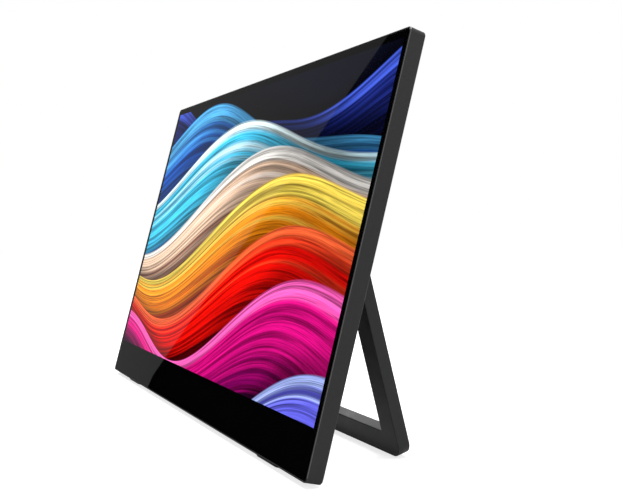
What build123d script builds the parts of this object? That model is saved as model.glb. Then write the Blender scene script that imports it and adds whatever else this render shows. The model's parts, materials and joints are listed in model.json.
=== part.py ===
from build123d import *
import os
from math import cos, radians, sin

# Portable monitor with a fold-out U-shaped stand.
# Lengths are millimetres and angles are degrees.
# Every piece is first built in the panel frame: X runs to the right as seen from the front, Y runs
# from the front face to the back, and Z runs up the panel from its bottom edge. The finished
# pieces are then leaned back and set on the table, with the origin under the middle of the box.

# Pose at rest
panel_lean = 15.0
stand_open = 30.0

# Lit area and the borders around it
lit_width = 344.16
lit_height = 193.6
side_border = 4.9
top_border = 5.2
chin_height = 25.2

# Rear housing
body_thickness = 9.0
body_corner = 3.0
back_edge_chamfer = 0.8
rim_edge_chamfer = 0.25
rim_width = 0.7
side_wall = 1.8
back_wall = 1.2
cavity_corner = 1.5

# Layers of the display, front to back
glass_recess = 0.1
glass_thickness = 0.7
tape_thickness = 0.15
tape_width = 0.9
sensor_thickness = 0.25
filter_glass = 0.55
circuit_glass = 0.55
films_thickness = 0.45
guide_thickness = 0.8
reflector_thickness = 0.15
plate_thickness = 0.3
cell_border = 2.2
cell_foot = 5.5
circuit_ledge = 2.8
films_border = 0.7
frame_ring = 1.1
led_bar_height = 1.4
led_bar_length = 336.0
slip = 0.1

# Panel driver board in the chin and the films that join it to the display cell
driver_left = -115.0
driver_right = 70.0
driver_bottom = 5.0
driver_top = 18.4
driver_thickness = 0.8
driver_film_thickness = 0.1
driver_film_width = 26.0
driver_film_count = 5
driver_film_grip = 3.0

# Rear cover over the electronics
cover_side_gap = 0.6
cover_bottom = 14.8
cover_above_hinge = 10.6
cover_wall = 1.4
cover_corner = 3.0
cover_edge = 1.2
vent_count = 14
vent_width = 1.4
vent_length = 9.0
vent_pitch = 5.0
vent_below_top = 13.0

# Stand and its hinge
hinge_height = 114.4
stand_inset = 24.48
leg_width = 14.3
leg_thickness = 7.35
leg_to_back = 0.3
bar_height = 12.8
stand_corner = 7.0
window_corner = 1.0
stand_chamfer = 0.5
strip_width = 5.0
strip_round = 2.4
strip_depth = 1.0
strip_proud = 0.8
strip_end_inset = 9.0
contact_cut = 0.25
pin_radius = 1.5
pin_grip = 11.3
pin_running = 0.04
pin_tail = 1.4
barrel_wall = 0.6
barrel_length = 17.0
barrel_inset = 4.6
bracket_drop = 24.0
washer_thickness = 0.3
washer_radius = 3.2
clip_thickness = 0.6
clip_radius = 2.1
clip_gap = 0.3
flank_hole_gap = 0.3

# Rubber feet under the panel
foot_inset = 50.98
foot_length = 25.0
foot_front = 2.8
foot_back = 7.2
foot_height = 1.65
foot_seat = 0.4
foot_round = 1.2

# Screws
cover_screw_radius = 1.0
cover_head_radius = 1.8
cover_head_height = 0.8
cover_head_sink = 0.9
cover_boss_radius = 2.6
cover_screw_reach = 5.0
cover_boss_gap = 1.0
cover_screw_near = 45.0
cover_screw_far = 96.0
hinge_screw_radius = 1.0
hinge_head_radius = 1.7
hinge_head_height = 0.8
hinge_boss_radius = 2.4
hinge_screw_first = 9.6
hinge_screw_second = 19.2
board_screw_radius = 0.7
board_head_radius = 1.4
board_head_height = 0.6
board_boss_radius = 1.9
screw_floor = 0.4

# Boards
board_thickness = 0.8
main_board_left = -75.0
main_board_right = 75.0
main_board_bottom = 40.0
main_board_top = 100.0
main_board_thickness = 1.0
main_board_lift = 1.4
touch_board_left = 80.0
touch_board_right = 104.0
touch_board_bottom = 48.0
touch_board_top = 74.0
board_screw_inset = 3.2

# Input and output board behind the left edge; distances in X count inwards from the outer face
io_board_near = 3.0
io_board_far = 26.0
io_board_bottom = 30.0
io_board_top = 92.0
socket_depth_line = 5.95
socket_mouth = 0.3
usb_lower_height = 42.0
usb_upper_height = 60.0
usb_width = 8.94
usb_thickness = 3.26
usb_length = 7.35
usb_round = 1.6
usb_tongue_width = 6.7
usb_tongue_thickness = 0.7
video_height = 79.0
video_width = 11.2
video_thickness = 3.2
video_length = 7.6
video_round = 0.8
video_tongue_width = 8.0
video_tongue_thickness = 0.8
socket_sheet = 0.3
socket_floor = 0.8
tongue_inset = 1.2
socket_gap = 0.2
tab_length = 2.0
tab_width = 1.2
tab_thickness = 0.25

# Audio jack and its board in the chin
jack_height = 12.0
jack_depth_line = 5.1
jack_width = 6.0
jack_thickness = 4.8
jack_length = 14.0
jack_nose = 2.4
jack_nose_radius = 2.3
jack_bore_radius = 1.8
jack_bore_length = 12.5
jack_gap = 0.2
audio_board_near = 2.4
audio_board_far = 24.0
audio_board_bottom = 3.0
audio_board_top = 19.0

# Power button, menu rocker and what they press; distances in X count inwards from the outer face
control_depth_line = 6.1
control_width = 2.4
control_round = 0.7
control_gap = 0.25
control_sink = 0.1
control_recess = 0.6
control_recess_margin = 1.5
button_length = 12.0
key_spacing = 9.0
button_flange = 0.7
button_flange_margin = 1.0
button_flange_gap = 0.15
button_travel = 0.3
rocker_height = 126.0
rocker_length = 18.0
rocker_inner = 3.0
rocker_pivot = 2.2
rocker_pin_radius = 0.6
rocker_running = 0.04
rocker_reach = 6.0
rocker_tip_round = 0.5
ear_front = 4.0
ear_half_height = 1.3
nub_end = 3.2
nub_radius = 0.7
switch_slack = 0.1
switch_face = 3.95
switch_length = 3.0
switch_width = 3.0
switch_plunger_radius = 0.7
switch_back = 5.4
button_board_below_keys = 9.0
button_board_above_light = 8.0
button_board_front = 4.3
button_board_back = 7.6
post_length = 4.0
post_thickness = 1.4
light_spacing = 8.0
light_radius = 0.8
light_end = 4.6
light_gap = 0.1
light_sink = 0.05

# Speakers in the chin
speaker_centre = 70.0
speaker_length = 40.0
speaker_front = 2.9
speaker_back = 7.6
speaker_bottom = 2.8
speaker_top = 17.8
speaker_wall = 0.8
cone_length = 28.0
cone_height = 9.0
cone_thickness = 0.4
outlet_length = 24.0
outlet_width = 2.4
gasket_margin = 1.2
sound_slot_count = 6
sound_slot_width = 1.2
sound_slot_pitch = 4.0

# Flat cables
cable_thickness = 0.3
cable_bend = 0.8
slot_bottom = 27.0
slot_top = 33.0
slot_margin = 1.5
display_cable_centre = -10.0
display_cable_width = 24.0
backlight_cable_centre = 30.0
backlight_cable_width = 6.0
touch_cable_centre = 92.0
touch_cable_width = 12.0
speaker_cable_offset = 5.0
speaker_cable_width = 3.0
io_cable_bottom = 46.0
io_cable_top = 60.0
io_slot_left = -104.0
io_slot_right = -96.0
button_cable_near = 8.0
button_cable_width = 5.0
connector_height = 4.0
connector_gap = 1.0
cable_lap = 4.0
cable_layer = 5.4

# Components of the main board; heights are up the panel and offsets are from its middle
chip_offset = 48.0
chip_height_line = 84.0
chip_side = 9.0
chip_rise = 1.1
coil_offset = 60.0
coil_pitch = 10.0
coil_height_line = 64.0
coil_side = 7.0
coil_rise = 2.4
capacitor_count = 4
capacitor_start = 34.0
capacitor_pitch = 5.0
capacitor_height_line = 52.0
capacitor_radius = 1.5
capacitor_rise = 2.8

# Main chip and the shield can over it
shield_middle = 0.0
shield_height_line = 76.0
shield_length = 44.0
shield_width = 34.0
shield_rise = 2.6
shield_sheet = 0.2
scaler_side = 16.0
scaler_rise = 1.4

# Values that follow from the driving sizes
body_width = lit_width + 2 * side_border
body_height = lit_height + top_border + chin_height
body_side = body_width / 2
lit_side = lit_width / 2
lit_top = chin_height + lit_height
glass_back = glass_recess + glass_thickness
ledge = glass_back + tape_thickness
sensor_back = glass_back + sensor_thickness
filter_back = sensor_back + filter_glass
cell_back = filter_back + circuit_glass
films_back = cell_back + films_thickness
guide_back = films_back + guide_thickness
reflector_back = guide_back + reflector_thickness
module_back = reflector_back + plate_thickness
inner_back = body_thickness - back_wall
films_side = lit_side + films_border
frame_side = films_side + slip + frame_ring
plate_side = frame_side + plate_thickness
films_bottom = chin_height - films_border
films_top = lit_top + films_border
led_bottom = films_bottom - led_bar_height
frame_bottom = led_bottom - slip - frame_ring
frame_top = films_top + slip + frame_ring
driver_front = filter_back
driver_back = driver_front + driver_thickness

axis_depth = body_thickness + leg_to_back + leg_thickness / 2
cover_back = body_thickness + leg_to_back + leg_thickness
cover_inside = cover_back - cover_wall
leg_outer = body_side - stand_inset
leg_inner = leg_outer - leg_width
cover_half_width = leg_inner - cover_side_gap
cover_top = hinge_height + cover_above_hinge
vent_height = cover_top - vent_below_top
foot_centre = body_side - foot_inset
barrel_radius = pin_radius + pin_running + barrel_wall
barrel_end = cover_half_width - barrel_inset
barrel_start = barrel_end - barrel_length
bracket_front = axis_depth - barrel_radius
bracket_back = bracket_front + barrel_wall
clip_end = barrel_start - clip_gap
pin_end = clip_end - clip_thickness - pin_tail

# The leg is as long as it takes for the rubber strip and the feet to meet the same table
leg_lean = stand_open - panel_lean
axis_rise = hinge_height * cos(radians(panel_lean)) - axis_depth * sin(radians(panel_lean))
foot_drop = foot_back * sin(radians(panel_lean)) + foot_height * cos(radians(panel_lean))
table_drop = foot_drop - contact_cut
strip_edge_drop = strip_width / 2 * sin(radians(leg_lean))
leg_reach = (axis_rise + table_drop + contact_cut - strip_edge_drop) / cos(radians(leg_lean))
leg_length = leg_reach - strip_proud
bar_bottom = hinge_height - leg_length
bar_top = bar_bottom + bar_height

board_front = body_thickness + main_board_lift
board_back = board_front + main_board_thickness
touch_board_back = board_front + board_thickness
io_board_front = socket_depth_line - board_thickness / 2
io_board_back = socket_depth_line + board_thickness / 2
audio_board_back = jack_depth_line - jack_thickness / 2
audio_board_front = audio_board_back - board_thickness
button_height = rocker_height + rocker_length / 2 + key_spacing + button_length / 2
light_height = button_height + button_length / 2 + light_spacing
button_board_bottom = rocker_height - rocker_length / 2 - button_board_below_keys
button_board_top = light_height + button_board_above_light
switch_tip = nub_end + button_travel + switch_slack
button_board_near = switch_back
button_board_far = switch_back + board_thickness
control_front = control_depth_line - control_width / 2
connector_bottom = button_board_bottom + post_length + connector_gap
switch_heights = [button_height, rocker_height - rocker_reach, rocker_height + rocker_reach]


def block(x, y, z):
    """A box between two values on each axis."""
    size = Box(x[1] - x[0], y[1] - y[0], z[1] - z[0])
    return Pos((x[0] + x[1]) / 2, (y[0] + y[1]) / 2, (z[0] + z[1]) / 2) * size


def sheet(half_width, y, z, corner):
    """A plate parallel to the screen with rounded corners, centred in X."""
    outline = RectangleRounded(2 * half_width, z[1] - z[0], corner)
    return Pos(0, y[1], (z[0] + z[1]) / 2) * extrude(Plane.XZ * outline, amount=y[1] - y[0])


def inset_sheet(inset, y, corner):
    """A plate parallel to the screen that follows the outline of the housing at an inset."""
    return sheet(body_side - inset, y, (inset, body_height - inset), corner)


def rod_x(radius, x, y, z):
    """A cylinder along X."""
    return Pos((x[0] + x[1]) / 2, y, z) * Rot(0, 90, 0) * Cylinder(radius, x[1] - x[0])


def rod_y(radius, y, x, z):
    """A cylinder along Y."""
    return Pos(x, (y[0] + y[1]) / 2, z) * Rot(90, 0, 0) * Cylinder(radius, y[1] - y[0])


def group(pieces):
    """Separate solids that share one node."""
    return Compound([solid for piece in pieces for solid in piece.solids()])


def mirrored(shape):
    """The same piece on the other side of the panel's middle."""
    return mirror(shape, about=Plane.YZ)


def from_edge(near, far):
    """The span in X between two distances inwards from the left outer face."""
    return (-body_side + near, -body_side + far)


def to_table(shape):
    """Lean the panel frame back and set it on the table, with the box centred."""
    leaned = Rot(-panel_lean, 0, 0) * shape
    return Pos(0, -depth_middle, table_drop) * leaned


def swing(shape):
    """Turn a stand piece about the hinge axis from folded to its angle at rest."""
    turned = Rot(stand_open, 0, 0) * Pos(0, -axis_depth, -hinge_height) * shape
    return Pos(0, axis_depth, hinge_height) * turned


def save(name, shape):
    """Write one finished node."""
    export_step(to_table(shape), os.path.join("parts", name + ".step"))


def above_table(shape):
    """Cut a piece in the panel frame flat where it meets the table."""
    slab = Pos(0, 0, -body_height / 2 - table_drop) * Box(2 * body_width, 4 * body_height, body_height)
    return shape - Rot(panel_lean, 0, 0) * slab


# Display, from the glass back to the metal plate
def cover_glass():
    return inset_sheet(rim_width + slip, (glass_recess, glass_back), body_corner - rim_width)


def glass_tape():
    outer = inset_sheet(rim_width + slip, (glass_back, ledge), body_corner - rim_width)
    return outer - inset_sheet(rim_width + slip + tape_width, (0, body_thickness), cavity_corner)


def touch_sensor():
    side = lit_side + cell_border
    return block((-side, side), (glass_back, sensor_back), (chin_height - cell_foot, lit_top + cell_border))


def lcd_cell():
    side = lit_side + cell_border
    bottom = chin_height - cell_foot
    top = lit_top + cell_border
    colour = block((-side, side), (sensor_back, filter_back), (bottom + circuit_ledge, top))
    circuit = block((-side, side), (filter_back, cell_back), (bottom, top))
    return colour + circuit


def driver_board():
    return block((driver_left, driver_right), (driver_front, driver_back), (driver_bottom, driver_top))


def driver_films():
    pitch = (driver_right - driver_left) / driver_film_count
    films = []
    for index in range(driver_film_count):
        middle = driver_left + pitch * (index + 0.5)
        span = (middle - driver_film_width / 2, middle + driver_film_width / 2)
        depth = (driver_front - driver_film_thickness, driver_front)
        height = (driver_top - driver_film_grip, chin_height - cell_foot + circuit_ledge - slip)
        films.append(block(span, depth, height))
    return group(films)


def optical_films():
    return block((-films_side, films_side), (cell_back, films_back), (films_bottom, films_top))


def light_guide():
    return block((-films_side, films_side), (films_back, guide_back), (films_bottom, films_top))


def reflector_sheet():
    return block((-films_side, films_side), (guide_back, reflector_back), (led_bottom, films_top))


def led_bar():
    half = led_bar_length / 2
    return block((-half, half), (films_back, guide_back), (led_bottom, films_bottom))


def panel_frame():
    outer = block((-frame_side, frame_side), (cell_back, reflector_back), (frame_bottom, frame_top))
    inner_half = films_side + slip
    inner_height = (led_bottom - slip, films_top + slip)
    return outer - block((-inner_half, inner_half), (0, body_thickness), inner_height)


def panel_back_plate():
    height = (frame_bottom - plate_thickness, frame_top + plate_thickness)
    outer = block((-plate_side, plate_side), (cell_back, module_back), height)
    return outer - block((-frame_side, frame_side), (0, reflector_back), (frame_bottom, frame_top))


# Rear housing: a tray with a thin rim round the glass, posts for what it carries, and its openings
def housing_shell():
    outer = inset_sheet(0, (0, body_thickness), body_corner)
    back_edges = outer.faces().sort_by(Axis.Y)[-1].edges()
    outer = chamfer(back_edges, back_edge_chamfer)
    front_edges = outer.faces().sort_by(Axis.Y)[0].edges()
    outer = chamfer(front_edges, rim_edge_chamfer)
    seat = inset_sheet(rim_width, (-1, ledge), body_corner - rim_width)
    hollow = inset_sheet(side_wall, (-1, inner_back), cavity_corner)
    return outer - seat - hollow


def corner_places(left, right, bottom, top):
    """Four screw places inside the corners of a board."""
    inset = board_screw_inset
    return [(x, z) for x in (left + inset, right - inset) for z in (bottom + inset, top - inset)]


main_board_places = corner_places(main_board_left, main_board_right, main_board_bottom, main_board_top)
touch_corners = corner_places(touch_board_left, touch_board_right, touch_board_bottom, touch_board_top)
touch_board_places = touch_corners[1:3]
io_span = from_edge(io_board_near, io_board_far)
io_board_places = [
    (io_span[1] - board_screw_inset, io_board_bottom + board_screw_inset),
    (io_span[1] - board_screw_inset, io_board_top - board_screw_inset),
]
audio_span = from_edge(audio_board_near, audio_board_far)
audio_board_places = [
    (audio_span[1] - board_screw_inset, audio_board_bottom + board_screw_inset),
    (audio_span[1] - board_screw_inset, audio_board_top - board_screw_inset),
]
hinge_middle = (barrel_start + barrel_end) / 2
hinge_screw_heights = [hinge_height - hinge_screw_first, hinge_height - hinge_screw_second]
cover_screw_inset = cover_wall + cover_boss_radius + cover_boss_gap
cover_screw_side = cover_half_width - cover_screw_inset
cover_screw_low = cover_bottom + cover_screw_inset
cover_screw_high = cover_top - cover_screw_inset
low_screws = [(side * x, cover_screw_low) for side in (-1, 1) for x in (cover_screw_side, cover_screw_near)]
high_screws = [(side * x, cover_screw_high) for side in (-1, 1) for x in (cover_screw_far, cover_screw_near)]
cover_screw_places = low_screws + high_screws


def housing_posts():
    posts = []
    for x, z in main_board_places + touch_board_places:
        posts.append(rod_y(board_boss_radius, (body_thickness, board_front), x, z))
    for x, z in io_board_places:
        posts.append(rod_y(board_boss_radius, (io_board_back, inner_back), x, z))
    for x, z in audio_board_places:
        posts.append(rod_y(board_boss_radius, (audio_board_back, inner_back), x, z))
    for side in (-1, 1):
        for height in hinge_screw_heights:
            depth = (body_thickness, bracket_front)
            posts.append(rod_y(hinge_boss_radius, depth, side * hinge_middle, height))
    for x, z in cover_screw_places:
        posts.append(rod_y(cover_boss_radius, (body_thickness, cover_inside), x, z))
    for height in (button_board_bottom, button_board_top - post_length):
        span = from_edge(button_board_far, button_board_far + post_thickness)
        posts.append(block(span, (button_board_front, inner_back), (height, height + post_length)))
    ear_span = from_edge(side_wall, rocker_pivot + 2 * rocker_pin_radius)
    ear_height = (rocker_height - ear_half_height, rocker_height + ear_half_height)
    posts.append(block(ear_span, (ear_front, control_front - control_gap), ear_height))
    return posts


def housing_screw_holes():
    holes = []
    for x, z in main_board_places + touch_board_places:
        holes.append(rod_y(board_screw_radius, (inner_back + screw_floor, board_front), x, z))
    for x, z in io_board_places:
        holes.append(rod_y(board_screw_radius, (io_board_back, body_thickness - screw_floor), x, z))
    for x, z in audio_board_places:
        holes.append(rod_y(board_screw_radius, (audio_board_back, body_thickness - screw_floor), x, z))
    for side in (-1, 1):
        for height in hinge_screw_heights:
            depth = (inner_back + screw_floor, bracket_front)
            holes.append(rod_y(hinge_screw_radius, depth, side * hinge_middle, height))
    for x, z in cover_screw_places:
        holes.append(rod_y(cover_screw_radius, (cover_inside - cover_screw_reach, cover_inside), x, z))
    return holes


def through_wall(depth_line, height, thickness, width, corner):
    """A rounded opening through the left wall."""
    outline = RectangleRounded(thickness, width, corner)
    span = from_edge(-1, side_wall)
    return Pos(span[0], depth_line, height) * extrude(Plane.YZ * outline, amount=span[1] - span[0])


def socket_opening(height, thickness, width, corner):
    """The opening in the left wall round a socket, one gap larger than the socket all round."""
    gap = socket_gap
    return through_wall(socket_depth_line, height, thickness + 2 * gap, width + 2 * gap, corner + gap)


def housing_side_openings():
    cuts = []
    for height in (usb_lower_height, usb_upper_height):
        cuts.append(socket_opening(height, usb_thickness, usb_width, usb_round))
    cuts.append(socket_opening(video_height, video_thickness, video_width, video_round))
    through = from_edge(-1, side_wall)
    cuts.append(rod_x(jack_nose_radius + jack_gap, through, jack_depth_line, jack_height))
    for height, length in ((button_height, button_length), (rocker_height, rocker_length)):
        width = control_width + 2 * control_gap
        corner = control_round + control_gap
        cuts.append(through_wall(control_depth_line, height, width, length + 2 * control_gap, corner))
        margin = 2 * control_recess_margin
        scoop = RectangleRounded(width + margin / 2, length + margin, width / 2)
        depth = control_recess + 1
        start = -body_side - 1
        cuts.append(Pos(start, control_depth_line, height) * extrude(Plane.YZ * scoop, amount=depth))
    cuts.append(rod_x(light_radius + light_gap, through, control_depth_line, light_height))
    pin_depth = (ear_front, inner_back + screw_floor)
    pivot = -body_side + rocker_pivot
    cuts.append(rod_y(rocker_pin_radius, pin_depth, pivot, rocker_height))
    return cuts


def cable_slots():
    """Slots in the back wall, one for each cable that goes from the cavity to the cover's space."""
    places = [
        (display_cable_centre, display_cable_width),
        (backlight_cable_centre, backlight_cable_width),
        (touch_cable_centre, touch_cable_width),
        (speaker_centre - speaker_cable_offset, speaker_cable_width),
        (speaker_cable_offset - speaker_centre, speaker_cable_width),
    ]
    through_back = (inner_back - 1, body_thickness + 1)
    cuts = []
    for centre, width in places:
        half = width / 2 + slot_margin
        cuts.append(block((centre - half, centre + half), through_back, (slot_bottom, slot_top)))
    height = (io_cable_bottom - slot_margin, io_cable_top + slot_margin)
    cuts.append(block((io_slot_left, io_slot_right), through_back, height))
    return cuts


def sound_slots():
    cuts = []
    middle = (speaker_front + speaker_back) / 2
    depth = (middle - outlet_width / 2, middle + outlet_width / 2)
    for side in (-1, 1):
        for index in range(sound_slot_count):
            x = side * speaker_centre + (index - (sound_slot_count - 1) / 2) * sound_slot_pitch
            span = (x - sound_slot_width / 2, x + sound_slot_width / 2)
            cuts.append(block(span, depth, (-1, side_wall)))
    return cuts


def foot_body(bottom, top):
    outline = RectangleRounded(foot_length, foot_back - foot_front, foot_round)
    middle = (foot_front + foot_back) / 2
    return Pos(foot_centre, middle, bottom) * extrude(outline, amount=top - bottom)


def rear_housing():
    shell = housing_shell() + housing_posts()
    shell -= housing_screw_holes()
    shell -= housing_side_openings()
    shell -= cable_slots()
    shell -= sound_slots()
    seat = foot_body(-1, foot_seat)
    return shell - seat - mirrored(seat)


def bottom_foot():
    return above_table(foot_body(-foot_height, foot_seat))


# Rear cover: a shallow box over the boards and hinges, with slots for air at its top
def rear_cover():
    outer = sheet(cover_half_width, (body_thickness, cover_back), (cover_bottom, cover_top), cover_corner)
    outer = chamfer(outer.faces().sort_by(Axis.Y)[-1].edges(), cover_edge)
    hollow_height = (cover_bottom + cover_wall, cover_top - cover_wall)
    hollow_side = cover_half_width - cover_wall
    hollow = sheet(hollow_side, (0, cover_inside), hollow_height, cover_corner - cover_wall)
    cover = outer - hollow
    hole = pin_radius + flank_hole_gap
    for side in (-1, 1):
        flank = sorted((side * (hollow_side - 1), side * (cover_half_width + 1)))
        cover -= rod_x(hole, flank, axis_depth, hinge_height)
        cover -= block(flank, (0, axis_depth), (hinge_height - hole, hinge_height + hole))
    vent_rows = (vent_height - vent_length / 2, vent_height + vent_length / 2)
    for index in range(vent_count):
        x = (index - (vent_count - 1) / 2) * vent_pitch
        span = (x - vent_width / 2, x + vent_width / 2)
        cover -= block(span, (cover_inside - 1, cover_back + 1), vent_rows)
    for x, z in cover_screw_places:
        cover -= rod_y(cover_head_radius + slip, (cover_back - cover_head_sink, cover_back + 1), x, z)
        cover -= rod_y(cover_screw_radius + slip, (cover_inside - 1, cover_back), x, z)
    return cover


def cover_screws():
    screws = []
    seat = cover_back - cover_head_sink
    for x, z in cover_screw_places:
        head = rod_y(cover_head_radius, (seat, seat + cover_head_height), x, z)
        shank = rod_y(cover_screw_radius, (cover_inside - cover_screw_reach, seat), x, z)
        screws.append(head + shank)
    return group(screws)


# Stand: a U-shaped frame that turns on two steel pins, held by wrapped friction barrels
def stand_frame():
    depth = (axis_depth - leg_thickness / 2, axis_depth + leg_thickness / 2)
    height = (bar_bottom, hinge_height + leg_thickness / 2)
    outer = block((-leg_outer, leg_outer), depth, height)
    low_corners = outer.edges().filter_by(Axis.Y).group_by(Axis.Z)[0]
    outer = fillet(low_corners, stand_corner)
    window = block((-leg_inner, leg_inner), (0, 2 * axis_depth), (bar_top, height[1] + 1))
    window_edges = window.edges().filter_by(Axis.Y).group_by(Axis.Z)[0]
    frame = outer - fillet(window_edges, window_corner)
    faces = frame.faces().filter_by(Axis.Y).sort_by(Axis.Y)
    frame = chamfer(faces[-1].edges() + faces[0].edges(), stand_chamfer)
    above = block((-leg_outer - 1, leg_outer + 1), (0, 2 * axis_depth), (hinge_height, height[1] + 1))
    round_tops = rod_x(leg_thickness / 2, (-leg_outer - 1, leg_outer + 1), axis_depth, hinge_height)
    frame -= above - round_tops
    for side in (-1, 1):
        bore = sorted((side * (leg_inner - 1), side * (leg_inner + pin_grip)))
        frame -= rod_x(pin_radius, bore, axis_depth, hinge_height)
    return frame - strip_body(strip_proud)


def strip_body(drop):
    half = leg_outer - strip_end_inset
    outline = RectangleRounded(2 * half, strip_width, strip_round)
    bottom = bar_bottom - drop
    return Pos(0, axis_depth, bottom) * extrude(outline, amount=strip_depth + drop)


def stand_strip():
    return above_table(swing(strip_body(strip_proud)))


def hinge_pin():
    return rod_x(pin_radius, (pin_end, leg_inner + pin_grip), axis_depth, hinge_height)


def hinge_bracket():
    span = (barrel_start, barrel_end)
    barrel = rod_x(barrel_radius, span, axis_depth, hinge_height)
    leaf = block(span, (bracket_front, bracket_back), (hinge_height - bracket_drop, hinge_height))
    bore_span = (span[0] - 1, span[1] + 1)
    bracket = barrel + leaf - rod_x(pin_radius + pin_running, bore_span, axis_depth, hinge_height)
    for height in hinge_screw_heights:
        through = (bracket_front - 1, bracket_back + 1)
        bracket -= rod_y(hinge_screw_radius + slip, through, hinge_middle, height)
    return bracket


def hinge_screws():
    screws = []
    for side in (-1, 1):
        for height in hinge_screw_heights:
            x = side * hinge_middle
            head = rod_y(hinge_head_radius, (bracket_back, bracket_back + hinge_head_height), x, height)
            shank = rod_y(hinge_screw_radius, (inner_back + screw_floor, bracket_back), x, height)
            screws.append(head + shank)
    return group(screws)


def hinge_washer():
    span = (leg_inner - washer_thickness, leg_inner)
    disc = rod_x(washer_radius, span, axis_depth, hinge_height)
    return disc - rod_x(pin_radius, (span[0] - 1, span[1] + 1), axis_depth, hinge_height)


def retaining_clip():
    span = (clip_end - clip_thickness, clip_end)
    disc = rod_x(clip_radius, span, axis_depth, hinge_height)
    return disc - rod_x(pin_radius, (span[0] - 1, span[1] + 1), axis_depth, hinge_height)


# Boards
def drill_board(board, places):
    for x, z in places:
        board -= rod_y(board_screw_radius + slip, (0, 2 * body_thickness), x, z)
    return board


def main_board():
    span = (main_board_left, main_board_right)
    board = block(span, (board_front, board_back), (main_board_bottom, main_board_top))
    return drill_board(board, main_board_places)


def main_board_parts():
    """Chips, coils and a row of capacitors on the back of the main board."""
    parts = []
    for side in (-1, 1):
        parts.append(board_item(side * chip_offset, chip_height_line, chip_side, chip_rise))
        parts.append(board_item(side * coil_offset, coil_height_line, coil_side, coil_rise))
        parts.append(board_item(side * (coil_offset - coil_pitch), coil_height_line, coil_side, coil_rise))
    for index in range(capacitor_count):
        x = capacitor_start + capacitor_pitch * index
        depth = (board_back, board_back + capacitor_rise)
        parts.append(rod_y(capacitor_radius, depth, x, capacitor_height_line))
    return group(parts)


def board_item(x, z, side, rise):
    """A square component on the back of the main board."""
    span = (x - side / 2, x + side / 2)
    return block(span, (board_back, board_back + rise), (z - side / 2, z + side / 2))


def scaler_chip():
    return board_item(shield_middle, shield_height_line, scaler_side, scaler_rise)


def shield_can():
    span = (shield_middle - shield_length / 2, shield_middle + shield_length / 2)
    height = (shield_height_line - shield_width / 2, shield_height_line + shield_width / 2)
    outer = block(span, (board_back, board_back + shield_rise), height)
    hollow_span = (span[0] + shield_sheet, span[1] - shield_sheet)
    hollow_height = (height[0] + shield_sheet, height[1] - shield_sheet)
    return outer - block(hollow_span, (0, board_back + shield_rise - shield_sheet), hollow_height)


def touch_board():
    span = (touch_board_left, touch_board_right)
    board = block(span, (board_front, touch_board_back), (touch_board_bottom, touch_board_top))
    return drill_board(board, touch_board_places)


def socket_notch(height, length, width):
    rows = (height - width / 2, height + width / 2)
    return block(from_edge(0, socket_mouth + length), (0, body_thickness), rows)


def io_board():
    board = block(io_span, (io_board_front, io_board_back), (io_board_bottom, io_board_top))
    for height in (usb_lower_height, usb_upper_height):
        board -= socket_notch(height, usb_length, usb_width)
    board -= socket_notch(video_height, video_length, video_width)
    return drill_board(board, io_board_places)


def socket(height, length, width, thickness, corner, tongue_width, tongue_thickness):
    """A sheet metal socket, open at the left, with its tongue and two solder tabs."""
    start = -body_side + socket_mouth
    outer_outline = RectangleRounded(thickness, width, corner)
    sheets = 2 * socket_sheet
    inner_outline = RectangleRounded(thickness - sheets, width - sheets, corner - socket_sheet)
    at_mouth = Pos(start, socket_depth_line, height)
    body = at_mouth * extrude(Plane.YZ * outer_outline, amount=length)
    body -= at_mouth * extrude(Plane.YZ * inner_outline, amount=length - socket_floor)
    tongue_span = (start + tongue_inset, start + length - socket_floor / 2)
    depth = (socket_depth_line - tongue_thickness / 2, socket_depth_line + tongue_thickness / 2)
    body += block(tongue_span, depth, (height - tongue_width / 2, height + tongue_width / 2))
    tab_span = (start + length - tab_length - 1, start + length - 1)
    for side in (-1, 1):
        edge = side * (width / 2 - socket_sheet / 2)
        tab_height = sorted((height + edge, height + edge + side * (tab_width + socket_sheet / 2)))
        body += block(tab_span, (io_board_back, io_board_back + tab_thickness), tab_height)
    return body


def usb_socket(height):
    tongue = (usb_tongue_width, usb_tongue_thickness)
    return socket(height, usb_length, usb_width, usb_thickness, usb_round, *tongue)


def video_socket():
    tongue = (video_tongue_width, video_tongue_thickness)
    return socket(video_height, video_length, video_width, video_thickness, video_round, *tongue)


def audio_board():
    height = (audio_board_bottom, audio_board_top)
    board = block(audio_span, (audio_board_front, audio_board_back), height)
    return drill_board(board, audio_board_places)


def audio_jack():
    depth = (audio_board_back, audio_board_back + jack_thickness)
    height = (jack_height - jack_width / 2, jack_height + jack_width / 2)
    body = block(from_edge(jack_nose, jack_length), depth, height)
    body += rod_x(jack_nose_radius, from_edge(0, jack_nose + 1), jack_depth_line, jack_height)
    return body - rod_x(jack_bore_radius, from_edge(-1, jack_bore_length), jack_depth_line, jack_height)


def board_screws():
    screws = []
    for x, z in main_board_places:
        screws.append(rear_facing_screw(x, board_back, z))
    for x, z in touch_board_places:
        screws.append(rear_facing_screw(x, touch_board_back, z))
    for x, z in io_board_places:
        screws.append(front_facing_screw(x, io_board_front, z))
    for x, z in audio_board_places:
        screws.append(front_facing_screw(x, audio_board_front, z))
    return group(screws)


def rear_facing_screw(x, seat, z):
    head = rod_y(board_head_radius, (seat, seat + board_head_height), x, z)
    return head + rod_y(board_screw_radius, (inner_back + screw_floor, seat), x, z)


def front_facing_screw(x, seat, z):
    head = rod_y(board_head_radius, (seat - board_head_height, seat), x, z)
    return head + rod_y(board_screw_radius, (seat, body_thickness - screw_floor), x, z)


# Power button, menu rocker, their switches and the status light
def button_board():
    span = from_edge(button_board_near, button_board_far)
    return block(span, (button_board_front, button_board_back), (button_board_bottom, button_board_top))


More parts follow.
